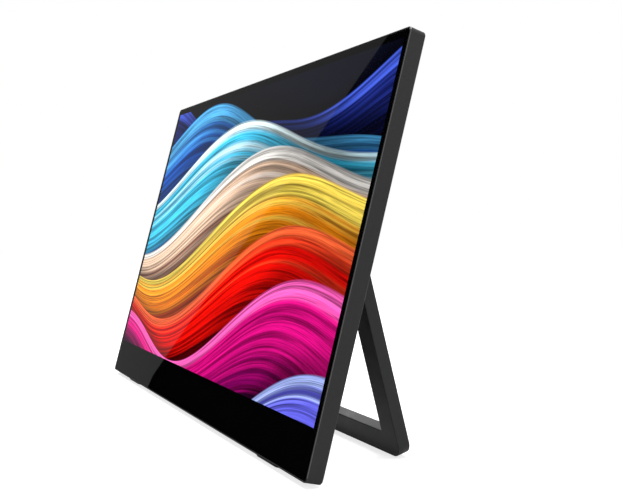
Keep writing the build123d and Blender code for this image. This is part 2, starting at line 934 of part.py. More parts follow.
def button_switches():
    switches = []
    for height in switch_heights:
        depth = (control_depth_line - switch_width / 2, control_depth_line + switch_width / 2)
        case_height = (height - switch_length / 2, height + switch_length / 2)
        case = block(from_edge(switch_face, switch_back), depth, case_height)
        reach = from_edge(switch_tip, switch_face)
        plunger = rod_x(switch_plunger_radius, reach, control_depth_line, height)
        switches.append(case + plunger)
    return group(switches)


def control_cap(height, length, near, far):
    outline = RectangleRounded(control_width, length, control_round)
    span = from_edge(near, far)
    return Pos(span[0], control_depth_line, height) * extrude(Plane.YZ * outline, amount=span[1] - span[0])


def power_button():
    flange_near = side_wall + button_flange_gap
    flange_far = flange_near + button_flange
    cap = control_cap(button_height, button_length, control_sink, flange_far)
    flange = control_cap(button_height, button_length + 2 * button_flange_margin, flange_near, flange_far)
    nub = rod_x(nub_radius, from_edge(flange_far - 0.1, nub_end), control_depth_line, button_height)
    return cap + flange + nub


def menu_rocker():
    cap = control_cap(rocker_height, rocker_length, control_sink, rocker_inner)
    ends = cap.faces().sort_by(Axis.X)[0].edges()
    cap = chamfer(ends, rocker_tip_round)
    for side in (-1, 1):
        height = rocker_height + side * rocker_reach
        cap += rod_x(nub_radius, from_edge(rocker_inner - 0.1, nub_end), control_depth_line, height)
    pivot = -body_side + rocker_pivot
    return cap - rod_y(rocker_pin_radius + rocker_running, (0, body_thickness), pivot, rocker_height)


def rocker_pin():
    depth = (ear_front, inner_back + screw_floor)
    return rod_y(rocker_pin_radius, depth, -body_side + rocker_pivot, rocker_height)


def light_pipe():
    return rod_x(light_radius, from_edge(light_sink, light_end), control_depth_line, light_height)


def status_light():
    depth = (control_depth_line - light_radius, control_depth_line + light_radius)
    height = (light_height - light_radius, light_height + light_radius)
    return block(from_edge(light_end, button_board_near), depth, height)


def button_connector():
    span = from_edge(button_board_far, button_cable_near + button_cable_width)
    height = (connector_bottom, connector_bottom + connector_height)
    return block(span, (io_board_front, button_board_back), height)


# Speakers: a box with an outlet downwards, an oval cone in its back and a foam ring
def speaker_box():
    span = (speaker_centre - speaker_length / 2, speaker_centre + speaker_length / 2)
    outer = block(span, (speaker_front, speaker_back), (speaker_bottom, speaker_top))
    inner_span = (span[0] + speaker_wall, span[1] - speaker_wall)
    inner_depth = (speaker_front + speaker_wall, speaker_back - speaker_wall)
    box = outer - block(inner_span, inner_depth, (speaker_bottom + speaker_wall, speaker_top - speaker_wall))
    box -= outlet(0, speaker_bottom + speaker_wall + 0.1)
    return box - cone_shape(speaker_back - speaker_wall, speaker_back)


def outlet(bottom, top):
    middle = (speaker_front + speaker_back) / 2
    depth = (middle - outlet_width / 2, middle + outlet_width / 2)
    span = (speaker_centre - outlet_length / 2, speaker_centre + outlet_length / 2)
    return block(span, depth, (bottom, top))


def cone_shape(front, back):
    outline = SlotOverall(cone_length, cone_height)
    place = Pos(speaker_centre, back, (speaker_bottom + speaker_top) / 2)
    return place * extrude(Plane.XZ * outline, amount=back - front)


def speaker_cone():
    return cone_shape(speaker_back - speaker_wall, speaker_back - speaker_wall + cone_thickness)


def speaker_gasket():
    middle = (speaker_front + speaker_back) / 2
    half_length = outlet_length / 2 + gasket_margin
    half_width = outlet_width / 2 + gasket_margin
    span = (speaker_centre - half_length, speaker_centre + half_length)
    ring = block(span, (middle - half_width, middle + half_width), (side_wall, speaker_bottom))
    return ring - outlet(0, speaker_bottom)


# Flat cables: each is a bent strip of one thickness
def bent_strip(points, width, centre, plane):
    """A strip along a path drawn in a plane, centred on a value of the plane's normal."""
    path = FilletPolyline(*points, radius=cable_bend)
    flat = plane * trace(path, line_width=cable_thickness)
    return Pos(*(plane.z_dir * (centre - width / 2))) * extrude(flat, amount=width)


def climb(centre, width, bottom, lower_depth):
    """A cable from the cavity, up and out through its slot, to the front of the main board."""
    slot_middle = (slot_bottom + slot_top) / 2
    above = board_front - cable_thickness / 2
    points = [(lower_depth, bottom), (lower_depth, slot_middle)]
    points += [(above, slot_middle), (above, main_board_bottom + cable_lap)]
    return bent_strip(points, width, centre, Plane.YZ)


def display_cable():
    """From the back of the panel driver board to the front of the main board."""
    low = driver_bottom + cable_lap
    touching = driver_back + cable_thickness / 2
    slot_middle = (slot_bottom + slot_top) / 2
    above = board_front - cable_thickness / 2
    turn = driver_top - driver_film_grip
    points = [(touching, low), (touching, turn), (cable_layer, turn)]
    points += [(cable_layer, slot_middle), (above, slot_middle), (above, main_board_bottom + cable_lap)]
    return bent_strip(points, display_cable_width, display_cable_centre, Plane.YZ)


def backlight_cable():
    """From the back plate, beside the light bar, to the front of the main board."""
    touching = module_back + cable_thickness / 2
    return climb(backlight_cable_centre, backlight_cable_width, led_bottom, touching)


def touch_cable():
    """From the lower edge of the touch sensor, behind the display, to the touch board."""
    slot_middle = (slot_bottom + slot_top) / 2
    touching = glass_back + sensor_thickness / 2
    low = chin_height - cell_foot - cable_thickness / 2
    above = board_front - cable_thickness / 2
    points = [(touching, low), (cable_layer, low), (cable_layer, slot_middle)]
    points += [(above, slot_middle), (above, touch_board_bottom + cable_lap)]
    return bent_strip(points, touch_cable_width, touch_cable_centre, Plane.YZ)


def speaker_cable(side):
    """From the top of a speaker to the front of the main board."""
    centre = side * (speaker_centre - speaker_cable_offset)
    return climb(centre, speaker_cable_width, speaker_top, cable_layer)


def io_cable():
    """From the input and output board to the front of the main board."""
    slot_middle = (io_slot_left + io_slot_right) / 2
    start = io_span[1] - cable_lap
    low = io_board_back + cable_thickness / 2
    above = board_front - cable_thickness / 2
    points = [(start, low), (slot_middle, low), (slot_middle, above), (main_board_left + cable_lap, above)]
    path = FilletPolyline(*points, radius=cable_bend)
    flat = trace(path, line_width=cable_thickness)
    return Pos(0, 0, io_cable_bottom) * extrude(flat, amount=io_cable_top - io_cable_bottom)


def button_cable():
    """From the input and output board up to the connector of the button board."""
    span = from_edge(button_cable_near, button_cable_near + button_cable_width)
    height = (io_board_top - cable_lap, connector_bottom + connector_height)
    return block(span, (io_board_front - cable_thickness, io_board_front), height)


pieces = {
    "cover_glass": cover_glass(),
    "glass_tape": glass_tape(),
    "touch_sensor": touch_sensor(),
    "lcd_cell": lcd_cell(),
    "panel_driver_board": driver_board(),
    "panel_driver_films": driver_films(),
    "optical_films": optical_films(),
    "light_guide": light_guide(),
    "reflector_sheet": reflector_sheet(),
    "led_bar": led_bar(),
    "panel_frame": panel_frame(),
    "panel_back_plate": panel_back_plate(),
    "rear_housing": rear_housing(),
    "rear_cover": rear_cover(),
    "cover_screws": cover_screws(),
    "bottom_foot_right": bottom_foot(),
    "bottom_foot_left": mirrored(bottom_foot()),
    "main_board": main_board(),
    "main_board_parts": main_board_parts(),
    "scaler_chip": scaler_chip(),
    "shield_can": shield_can(),
    "touch_board": touch_board(),
    "io_board": io_board(),
    "usb_socket_lower": usb_socket(usb_lower_height),
    "usb_socket_upper": usb_socket(usb_upper_height),
    "video_socket": video_socket(),
    "audio_board": audio_board(),
    "audio_jack": audio_jack(),
    "board_screws": board_screws(),
    "button_board": button_board(),
    "button_switches": button_switches(),
    "button_connector": button_connector(),
    "power_button": power_button(),
    "menu_rocker": menu_rocker(),
    "rocker_pin": rocker_pin(),
    "light_pipe": light_pipe(),
    "status_light": status_light(),
    "speaker_box_right": speaker_box(),
    "speaker_box_left": mirrored(speaker_box()),
    "speaker_cone_right": speaker_cone(),
    "speaker_cone_left": mirrored(speaker_cone()),
    "speaker_gasket_right": speaker_gasket(),
    "speaker_gasket_left": mirrored(speaker_gasket()),
    "display_cable": display_cable(),
    "backlight_cable": backlight_cable(),
    "touch_cable": touch_cable(),
    "speaker_cable_right": speaker_cable(1),
    "speaker_cable_left": speaker_cable(-1),
    "io_cable": io_cable(),
    "button_cable": button_cable(),
    "stand_frame": swing(stand_frame()),
    "stand_strip": stand_strip(),
    "hinge_pin_right": swing(hinge_pin()),
    "hinge_pin_left": swing(mirrored(hinge_pin())),
    "hinge_washers": group([swing(hinge_washer()), swing(mirrored(hinge_washer()))]),
    "retaining_clips": group([swing(retaining_clip()), swing(mirrored(retaining_clip()))]),
    "hinge_bracket_right": hinge_bracket(),
    "hinge_bracket_left": mirrored(hinge_bracket()),
    "hinge_screws": hinge_screws(),
}

# The box of the leaned part is centred in depth over the origin
spans = [(Rot(-panel_lean, 0, 0) * shape).bounding_box() for shape in pieces.values()]
depth_middle = (min(span.min.Y for span in spans) + max(span.max.Y for span in spans)) / 2

os.makedirs("parts", exist_ok=True)
for name, shape in pieces.items():
    save(name, shape)
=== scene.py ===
"""Portable monitor on its fold-out stand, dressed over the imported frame.

Lengths are metres, and places inside a piece that are given in millimetres say so. The panel frame
has X to the right as seen from the front, Y from the front face to the back and Z up the panel from
its bottom edge; it leans back over the table. The stand frame has its origin on the hinge axis, Y
out of the back of the legs and Z up along them.
"""

import json
import logging
from collections.abc import Sequence
from dataclasses import dataclass
from enum import Enum
from math import cos, pi, radians, sin

import bmesh
import bpy
import numpy as np
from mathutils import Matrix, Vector


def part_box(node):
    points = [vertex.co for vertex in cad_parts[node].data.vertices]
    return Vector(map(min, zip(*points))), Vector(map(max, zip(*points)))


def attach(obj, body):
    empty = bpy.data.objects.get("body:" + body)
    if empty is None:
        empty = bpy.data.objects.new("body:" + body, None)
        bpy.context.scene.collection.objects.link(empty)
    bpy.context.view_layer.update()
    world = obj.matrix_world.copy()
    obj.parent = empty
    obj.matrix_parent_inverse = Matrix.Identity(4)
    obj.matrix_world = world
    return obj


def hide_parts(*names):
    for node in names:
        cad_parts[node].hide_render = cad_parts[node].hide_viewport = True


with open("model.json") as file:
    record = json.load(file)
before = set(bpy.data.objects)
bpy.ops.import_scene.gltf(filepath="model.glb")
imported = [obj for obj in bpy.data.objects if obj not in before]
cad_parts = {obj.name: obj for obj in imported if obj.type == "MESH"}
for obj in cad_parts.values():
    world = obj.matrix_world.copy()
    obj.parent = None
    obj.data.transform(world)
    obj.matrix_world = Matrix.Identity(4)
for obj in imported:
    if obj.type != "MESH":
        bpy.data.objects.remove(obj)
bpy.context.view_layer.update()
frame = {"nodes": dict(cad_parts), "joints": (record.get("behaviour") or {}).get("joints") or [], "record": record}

log = logging.getLogger("portable_monitor")

MM = 0.001
LEAN = radians(15.0)
LEANED = (-LEAN, 0.0, 0.0)
STAND_OPEN = radians(30.0)
GLASS_RECESS = 0.1 * MM
GLASS_THICKNESS = 0.7 * MM
GLASS_INSET = 0.8 * MM
LEFT_FACE = -176.98 * MM
SOCKET_LINE = 5.95 * MM
LOWER_SOCKET, UPPER_SOCKET, VIDEO_SOCKET = 42.0 * MM, 60.0 * MM, 79.0 * MM
CONTROL_LINE = 6.1 * MM
ROCKER_HEIGHT, POWER_HEIGHT, LIGHT_HEIGHT = 126.0 * MM, 150.0 * MM, 164.0 * MM
POWER_OPENING, ROCKER_OPENING = 12.5 * MM, 18.5 * MM
ROCKER_PIVOT = (LEFT_FACE + 2.2 * MM, 0.0, ROCKER_HEIGHT)
SMOOTH_ANGLE = radians(38.0)
MERGE_WITHIN = 0.002 * MM
LEAST_CORNER = 0.02 * MM
UNIT = (0.0, 1.0)
NOISE_SPAN = (0.3, 0.7)

Array = np.ndarray
Item = bpy.types.Object
Socket = bpy.types.NodeSocket
Value = float | Socket
Pair = tuple[float, float]
Place = tuple[float, float, float]
Colour = tuple[float, float, float, float]


def mm(*values: float) -> tuple[float, ...]:
    """Millimetres as metres."""
    return tuple(value * MM for value in values)


class Body(Enum):
    """The rigid bodies that pieces ride on."""

    MONITOR = "monitor"
    STAND = "stand"
    POWER = "power_button"
    ROCKER = "menu_rocker"


class Side(Enum):
    """The side of the panel's middle that a paired piece lies on."""

    LEFT = -1
    RIGHT = 1


class Axes(Enum):
    """How an outline's two axes and its rise map to X, Y and Z."""

    TO_BACK = (0, 2, 1)
    UPWARDS = (0, 1, 2)
    TO_RIGHT = (1, 2, 0)


class Joining(Enum):
    """How a tool changes the object that it is worked into."""

    CUT = "DIFFERENCE"
    ADD = "UNION"


@dataclass(frozen=True)
class Pose:
    """A turn about X and a shift that carry points from a piece's own frame to the row frame."""

    turn: float
    shift: Place

    def place(self, points: Array) -> Array:
        """Turn the points by the angle about X, then shift them.

        Args:
            points: An array whose last axis holds X, Y and Z.

        Returns:
            The points in the row frame.
        """
        x, y, z = points[..., 0], points[..., 1], points[..., 2]
        across = y * cos(self.turn) - z * sin(self.turn)
        up = y * sin(self.turn) + z * cos(self.turn)
        return np.stack([x, across, up], axis=-1) + np.array(self.shift)

    def place_all(self, grids: Sequence[Array]) -> list[Array]:
        """Place each of several grids."""
        return [self.place(grid) for grid in grids]


def read_panel_pose() -> Pose:
    """Read from the glass of the frame where the leaned panel lies.

    Returns:
        The pose that carries panel points to the row frame.
    """
    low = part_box("cover_glass")[0]
    glass_back = GLASS_RECESS + GLASS_THICKNESS
    front = low.y - GLASS_RECESS * cos(LEAN) - GLASS_INSET * sin(LEAN)
    bottom = low.z - GLASS_INSET * cos(LEAN) + glass_back * sin(LEAN)
    return Pose(-LEAN, (0.0, front, bottom))


def read_stand_pose() -> Pose:
    """Read the hinge axis of the stand, where its own frame starts, from the frame's joints."""
    hinge = next(joint for joint in frame["joints"] if joint["child"] == Body.STAND.value)
    return Pose(STAND_OPEN - LEAN, (0.0, hinge["pos_m"][1], hinge["pos_m"][2]))


PANEL = read_panel_pose()
STAND = read_stand_pose()


def grey(level: float) -> Colour:
    """A linear grey."""
    return (level, level, level, 1.0)


def around(middle: float, below: float, above: float) -> Pair:
    """A range that reaches below and above a middle value."""
    return (middle - below, middle + above)


def scaled(colour: Colour, share: float) -> Colour:
    """Brighten or darken a linear colour, up to white."""
    red, green, blue, alpha = colour
    return (min(red * share, 1.0), min(green * share, 1.0), min(blue * share, 1.0), alpha)


def srgb(red: float, green: float, blue: float) -> Colour:
    """Turn display values from 0 to 255 into linear ones: a straight foot, then a power of 2.4.

    Args:
        red: Red, 0 to 255.
        green: Green, 0 to 255.
        blue: Blue, 0 to 255.

    Returns:
        The linear colour.
    """
    display = np.array([red, green, blue]) / 255.0
    curve = ((display + 0.055) / 1.055) ** 2.4
    linear = np.where(display <= 0.04045, display / 12.92, curve)
    return (float(linear[0]), float(linear[1]), float(linear[2]), 1.0)


def arc(centre: Pair, radius: float, start: float, end: float, steps: int) -> Array:
    """Points of a circular arc in a profile's plane, from one angle in degrees to another."""
    angle = np.radians(np.linspace(start, end, steps + 1))
    return np.stack([centre[0] + radius * np.cos(angle), centre[1] + radius * np.sin(angle)], axis=-1)


def carried_profile(size: Pair, corner: float, profile: Array, steps: int = 8) -> Array:
    """Carry a profile round a rounded rectangle, row by row.

    Each profile row holds an inset and a rise. At an inset i the outline is the rectangle drawn in
    by i on each side, with its corner radius less by i: centre of a corner plus radius times the
    cosine and sine of the angle round it.

    Args:
        size: Width and height of the outline at inset zero.
        corner: Corner radius at inset zero.
        profile: Rows of inset and rise.
        steps: Steps in each corner.

    Returns:
        A grid of rows by points by three: the outline's two axes and the rise.
    """
    inset = profile[:, :1]
    radius = np.maximum(corner - inset, LEAST_CORNER)
    half_width = size[0] / 2 - inset - radius
    half_height = size[1] / 2 - inset - radius
    quarter = np.arange(4).repeat(steps + 1)
    angle = quarter * pi / 2 + np.tile(np.linspace(0, pi / 2, steps + 1), 4)
    sign_x = np.where((quarter == 0) | (quarter == 3), 1.0, -1.0)
    sign_y = np.where(quarter < 2, 1.0, -1.0)
    x = sign_x * half_width + radius * np.cos(angle)
    y = sign_y * half_height + radius * np.sin(angle)
    rise = np.broadcast_to(profile[:, 1:], x.shape)
    return np.stack([x, y, rise], axis=-1)


def oriented(grid: Array, axes: Axes, centre: Place) -> Array:
    """Map a grid's outline axes and rise to X, Y and Z, and move its origin to the centre."""
    return grid[..., np.argsort(axes.value)] + np.array(centre)


def slab(
    size: Pair,
    corner: float,
    span: Pair,
    centre: Place = (0.0, 0.0, 0.0),
    axes: Axes = Axes.TO_BACK,
    edges: Pair = (0.0, 0.0),
    steps: int = 6,
) -> Array:
    """A rounded rectangle carried between two rises, with a quarter-round edge at each end.

    In an edge of radius e, at an angle t, the inset is e(1 - sin t) and the rise e(1 - cos t).

    Args:
        size: Width and height of the outline.
        corner: Its corner radius.
        span: Where it starts and ends.
        centre: Where its own origin goes.
        axes: Which way it stands.
        edges: Radius of the edge at its start and at its end.
        steps: Steps in each corner of the outline.

    Returns:
        A grid of rings.
    """
    angle = np.linspace(0, pi / 2, 4)
    start = np.stack([edges[0] * (1 - np.sin(angle)), span[0] + edges[0] * (1 - np.cos(angle))], axis=-1)
    end = np.stack([edges[1] * (1 - np.sin(angle)), span[1] - edges[1] * (1 - np.cos(angle))], axis=-1)
    first = start if edges[0] > 0 else start[:1]
    last = end[::-1] if edges[1] > 0 else end[:1]
    return oriented(carried_profile(size, corner, np.concatenate([first, last]), steps), axes, centre)


def rod(
    radius: float, span: Pair, centre: Place, axes: Axes = Axes.TO_BACK, edges: Pair = (0.0, 0.0)
) -> Array:
    """A round slab, with the radius of the edge at its start and at its end."""
    return slab((2 * radius, 2 * radius), radius, span, centre, axes, edges, 7)


def turned(profile: Array, ripple: Array, steps: int) -> Array:
    """Turn a profile about the rise axis, with a ripple on each row's radius.

    The radius at an angle a is r times one plus the row's ripple times the cosine of six a.

    Args:
        profile: Rows of radius and rise.
        ripple: One ripple share for each row.
        steps: Points round the circle.

    Returns:
        A grid of rows by points by three.
    """
    angle = np.linspace(0, 2 * pi, steps, endpoint=False)
    radius = profile[:, :1] * (1 + ripple[:, None] * np.cos(6 * angle))
    rise = np.broadcast_to(profile[:, 1:], radius.shape)
    return np.stack([radius * np.cos(angle), radius * np.sin(angle), rise], axis=-1)


def on_table(grid: Array) -> Array:
    """Flatten a placed grid where it would go below the table."""
    return np.concatenate([grid[..., :2], np.maximum(grid[..., 2:], 0.0)], axis=-1)


def spot(across: float, up: float) -> Place:
    """A place on the panel's front plane, given in millimetres from its middle and its bottom edge."""
    return (across * MM, 0.0, up * MM)


def spread_out(start: float, end: float) -> Pair:
    """A span with its ends in rising order."""
    return (min(start, end), max(start, end))


def stepped(count: int, pitch: float) -> list[float]:
    """How far each piece of a row lies from the row's middle."""
    return [(index - (count - 1) / 2) * pitch for index in range(count)]


def link(name: str, data: bpy.types.ID) -> Item:
    """Make an object and link it to the scene.

    Args:
        name: The object's name.
        data: Its mesh, camera or lamp.

    Returns:
        The object, at the origin.
    """
    item = bpy.data.objects.new(name, data)
    bpy.context.scene.collection.objects.link(item)
    return item


def sheet(name: str, corners: Sequence[Place], faces: Sequence[Sequence[int]]) -> Item:
    """Make a mesh object.

    Args:
        name: The object's name.
        corners: The place of each corner.
        faces: The corner numbers of each face.

    Returns:
        The object, at the origin.
    """
    mesh = bpy.data.meshes.new(name)
    mesh.from_pydata(corners, [], faces)
    return link(name, mesh)


def shade(item: Item) -> None:
    """Shade an object smooth and keep its creases."""
    item.data.polygons.foreach_set("use_smooth", np.ones(len(item.data.polygons), dtype=bool))
    item.data.set_sharp_from_angle(angle=SMOOTH_ANGLE)


def skin_faces(rows: int, columns: int, start: int, capped: bool) -> list[list[int]]:
    """Number the faces of a closed tube of rows, with a flat face over each end.

    Args:
        rows: Rings in the tube.
        columns: Points in each ring.
        start: Number of the first vertex.
        capped: Whether the ends get their faces.

    Returns:
        Quads between the rings and one face for each end.
    """
    row, column = np.meshgrid(np.arange(rows - 1), np.arange(columns), indexing="ij")
    following = (column + 1) % columns
    corners = [row * columns + column, row * columns + following]
    corners += [(row + 1) * columns + following, (row + 1) * columns + column]
    quads = np.stack(corners, axis=-1).reshape(-1, 4) + start
    first = np.arange(columns)[::-1] + start
    last = np.arange(columns) + start + (rows - 1) * columns
    return quads.tolist() + ([first.tolist(), last.tolist()] if capped else [])


def skin(name: str, grids: Sequence[Array], capped: bool = True) -> Item:
    """Make one object at the origin from closed grids that don't touch, with its faces outwards.

    Args:
        name: The object's name.
        grids: Rings by points by three for each part, in the row frame.
        capped: Whether the ends get their faces.

    Returns:
        The linked object, shaded smooth with its creases kept.
    """
    faces: list[list[int]] = []
    start = 0
    for grid in grids:
        faces += skin_faces(grid.shape[0], grid.shape[1], start, capped)
        start += grid.shape[0] * grid.shape[1]
    item = sheet(name, np.concatenate([grid.reshape(-1, 3) for grid in grids]).tolist(), faces)
    work = bmesh.new()
    work.from_mesh(item.data)
    bmesh.ops.remove_doubles(work, verts=work.verts, dist=MERGE_WITHIN)
    bmesh.ops.recalc_face_normals(work, faces=work.faces)
    work.to_mesh(item.data)
    work.free()
    shade(item)
    return item


def work_in(item: Item, grids: Sequence[Array], how: Joining = Joining.CUT) -> None:
    """Cut closed grids out of an object, or add them to it.

    Args:
        item: The object that is changed.
        grids: One grid of rings for each tool, in the row frame.
        how: Whether the tools are cut out or added.
    """
    tool = skin(item.name + "_tool", grids)
    modifier = item.modifiers.new("tool", "BOOLEAN")
    modifier.operation = how.value
    modifier.solver = "EXACT"
    modifier.object = tool
    worked = item.evaluated_get(bpy.context.evaluated_depsgraph_get())
    mesh = bpy.data.meshes.new_from_object(worked)
    if len(mesh.polygons) < len(item.data.polygons) // 2:
        raise RuntimeError(f"{item.name} lost its faces when it was cut")
    item.modifiers.clear()
    item.data = mesh
    bpy.data.objects.remove(tool)


def soften(item: Item, width: float, angle: float = 32.0) -> None:
    """Round the creases of an object and weigh its normals by face area.

    Args:
        item: The object.
        width: Width of the rounded edge.
        angle: Least angle between two faces, in degrees.
    """
    mesh = item.data
    mesh.polygons.foreach_set("use_smooth", np.ones(len(mesh.polygons), dtype=bool))
    mesh.edges.foreach_set("use_edge_sharp", np.zeros(len(mesh.edges), dtype=bool))
    bevel = item.modifiers.new("soft edges", "BEVEL")
    bevel.width = width
    bevel.segments = 2
    bevel.limit_method = "ANGLE"
    bevel.angle_limit = radians(angle)
    bevel.use_clamp_overlap = True
    item.modifiers.new("flat faces", "WEIGHTED_NORMAL")


def keep_flat(item: Item) -> None:
    """Weigh an object's normals by face area and keep its creases."""
    item.modifiers.new("flat faces", "WEIGHTED_NORMAL").keep_sharp = True


def paint(item: Item, material: bpy.types.Material) -> None:
    """Give every material slot of an object one material.

    Args:
        item: The object.
        material: The material.
    """
    if not item.material_slots:
        item.data.materials.append(material)
    for place in item.material_slots:
        place.material = material


def hand_over(
    item: Item, body: Body, slot: str, nodes: Sequence[str] = (), finish: bpy.types.Material | None = None
) -> None:
    """Paint a finished piece with its slot's material, put it on its body and hide the nodes it stands for.

    Args:
        item: The piece.
        body: The body that it rides on.
        slot: The record's material slot.
        nodes: Nodes of the frame that it replaces.
        finish: Its own material, where that isn't the slot's.
    """
    paint(item, finish or MATERIALS[slot])
    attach(item, body.value)
    if nodes:
        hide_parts(*nodes)
    log.info("%s rides on %s, %d faces", item.name, body.value, len(item.data.polygons))


class Graph:
    """Adds shader nodes to one tree and joins them by their sockets."""

    def __init__(self, tree: bpy.types.NodeTree) -> None:
        """Keep a material's, world's or group's tree, which nodes are added to."""
        self.tree = tree

    def node(self, kind: str, **options: str | bool | int | bpy.types.NodeTree) -> bpy.types.Node:
        """Add one node.

        Args:
            kind: The node's type name, after ShaderNode.
            options: Settings of the node itself.

        Returns:
            The node.
        """
        made = self.tree.nodes.new("ShaderNode" + kind)
        for name, value in options.items():
            setattr(made, name, value)
        return made

    def feed(self, socket: Socket, value: Value | Sequence[float]) -> None:
        """Link a socket to another one, or write a plain value into it.

        Args:
            socket: The input socket.
            value: An output socket, a number or a few numbers.
        """
        if isinstance(value, bpy.types.NodeSocket):
            self.tree.links.new(value, socket)
        else:
            socket.default_value = value

    def fill(self, node: bpy.types.Node, **values: Value | Sequence[float]) -> bpy.types.Node:
        """Feed a node's inputs by their names.

        Args:
            node: The node.
            values: One value or socket for each named input, with _ for a space.

        Returns:
            The same node.
        """
        for name, value in values.items():
            self.feed(node.inputs[name.replace("_", " ")], value)
        return node

    def line_up(self, node: bpy.types.Node, *values: Value | Sequence[float]) -> bpy.types.NodeOutputs:
        """Feed a node's inputs in order.

        Args:
            node: The node.
            values: One value or socket for each input.

        Returns:
            The node's outputs.
        """
        for place, value in enumerate(values):
            self.feed(node.inputs[place], value)
        return node.outputs

    def math(self, operation: str, *values: Value) -> Socket:
        """The result of a Math node's operation on its inputs in order."""
        return self.line_up(self.node("Math", operation=operation), *values)[0]

    def times(self, first: Value, second: Value) -> Socket:
        """The product of two numbers."""
        return self.math("MULTIPLY", first, second)

    def away(self, value: Socket, middle: float = 0.0) -> Socket:
        """How far a number lies from a middle one, on either side."""
        return self.math("ABSOLUTE", self.math("SUBTRACT", value, middle) if middle else value)

    def outside(self, first: Socket, second: Socket, half: Pair) -> Socket:
        """Distance from a rectangle: the length of what each number has over the half size.

        Args:
            first: How far the point lies from the middle along the first side.
            second: The same along the second side.
            half: Half the length of each side.

        Returns:
            The distance's socket, zero inside.
        """
        over, across = (
            self.math("MAXIMUM", self.math("SUBTRACT", value, limit), 0.0)
            for value, limit in zip((first, second), half)
        )
        return self.math("SQRT", self.math("MULTIPLY_ADD", over, over, self.times(across, across)))

    def vectors(self, operation: str, *values: Socket | Place) -> bpy.types.NodeOutputs:
        """The outputs of a Vector Math node with its vectors in order."""
        return self.line_up(self.node("VectorMath", operation=operation), *values)

    def split(self, vector: Socket) -> list[Socket]:
        """The X, Y and Z of a vector."""
        return list(self.fill(self.node("SeparateXYZ"), Vector=vector).outputs)

    def mix(self, factor: Value, first: Value | Colour, second: Value | Colour) -> Socket:
        """Mix two colours.

        Args:
            factor: Share of the second colour.
            first: Colour at factor 0.
            second: Colour at factor 1.

        Returns:
            The mixed colour's socket.
        """
        made = self.node("Mix", data_type="RGBA")
        for place, value in ((0, factor), (6, first), (7, second)):
            self.feed(made.inputs[place], value)
        return made.outputs[2]

    def spread(
        self, value: Value, old: Pair, new: tuple[Value, Value] = UNIT, ease: bool = False
    ) -> Socket:
        """Map a number from an old range to a new one, clamp it there, and ease its start and end."""
        made = self.node("MapRange", clamp=True, interpolation_type="SMOOTHSTEP" if ease else "LINEAR")
        return self.line_up(made, value, *old, *new)[0]

    def place(self, turn: Place = (0, 0, 0), shift: Place = (0, 0, 0)) -> Socket:
        """Object coordinates, shifted and then turned by a Mapping node.

        Args:
            turn: Angles about X, Y and Z that undo the piece's own turn.
            shift: What is taken off the coordinates before they are turned.

        Returns:
            The vector's socket.
        """
        source = self.node("TexCoord").outputs["Object"]
        made = self.node("Mapping", vector_type="TEXTURE")
        return self.fill(made, Vector=source, Location=shift, Rotation=turn).outputs[0]

    def noise(self, vector: Socket, scale: Value, detail: float = 2.0, rough: float = 0.5) -> Socket:
        """Noise of 0 to 1 at a vector: features in a metre, octaves and share of the finer octaves."""
        made = self.node("TexNoise")
        return self.fill(made, Vector=vector, Scale=scale, Detail=detail, Roughness=rough).outputs[0]

    def group(self, tree: bpy.types.NodeTree, **values: Value | Colour) -> dict[str, Socket]:
        """The outputs by name of a node group with its own values, named with _ for a space."""
        made = self.fill(self.node("Group", node_tree=tree), **values)
        return {socket.name: socket for socket in made.outputs}


def open_group(
    name: str, inputs: dict[str, str], outputs: Sequence[str], kind: str = "Float"
) -> tuple[Graph, dict[str, Socket], bpy.types.Node]:
    """Start a node group with named sockets.

    Args:
        name: The group's name.
        inputs: Socket type of each named input.
        outputs: Names of its outputs.
        kind: Socket type of the outputs.

    Returns:
        The graph inside the group, the sockets of its inputs by name and its output node.
    """
    tree = bpy.data.node_groups.new(name, "ShaderNodeTree")
    for label, input_kind in inputs.items():
        tree.interface.new_socket(label, in_out="INPUT", socket_type="NodeSocket" + input_kind)
    for label in outputs:
        tree.interface.new_socket(label, in_out="OUTPUT", socket_type="NodeSocket" + kind)
    given = tree.nodes.new("NodeGroupInput")
    return Graph(tree), {label: given.outputs[label] for label in inputs}, tree.nodes.new("NodeGroupOutput")


@dataclass(frozen=True)
class EdgeSheenAndWear:
    """Mask of edges painted paler, partly a painted edge highlight and partly wear, from the cosine between the
    face's normal and a rounded one.

    The mask grows as the cosine falls from the unmarked level to the fully marked one, and is weaker between the
    patches.
    """

    samples: int = 4
    unmarked: float = 0.995
    lit_and_worn: float = 0.93
    patch_span: Pair = (0.38, 0.62)
    patch_range: Pair = (0.25, 1.0)

    def build(self) -> bpy.types.NodeTree:
        """Build the group.

        Returns:
            A group with the width of the edge and how uneven it is going in, and a mask coming out.
        """
        inputs = {"Vector": "Vector", "Width": "Float", "Patch Scale": "Float"}
        graph, given, out = open_group("edge_sheen_and_wear", inputs, ("Mask",))
        rounded = graph.fill(graph.node("Bevel", samples=self.samples), Radius=given["Width"]).outputs[0]
        facing = graph.node("NewGeometry").outputs["Normal"]
        product = graph.vectors("DOT_PRODUCT", rounded, facing)["Value"]
        # painted edge highlight, with some wear: the mask rises where the rounded normal turns away from the
        # face's normal
        edge = graph.spread(product, (self.unmarked, self.lit_and_worn), ease=True)
        noise = graph.noise(given["Vector"], given["Patch Scale"], detail=4.0, rough=0.6)
        patches = graph.spread(noise, self.patch_span, self.patch_range)
        graph.fill(out, Mask=graph.times(edge, patches))
        return graph.tree


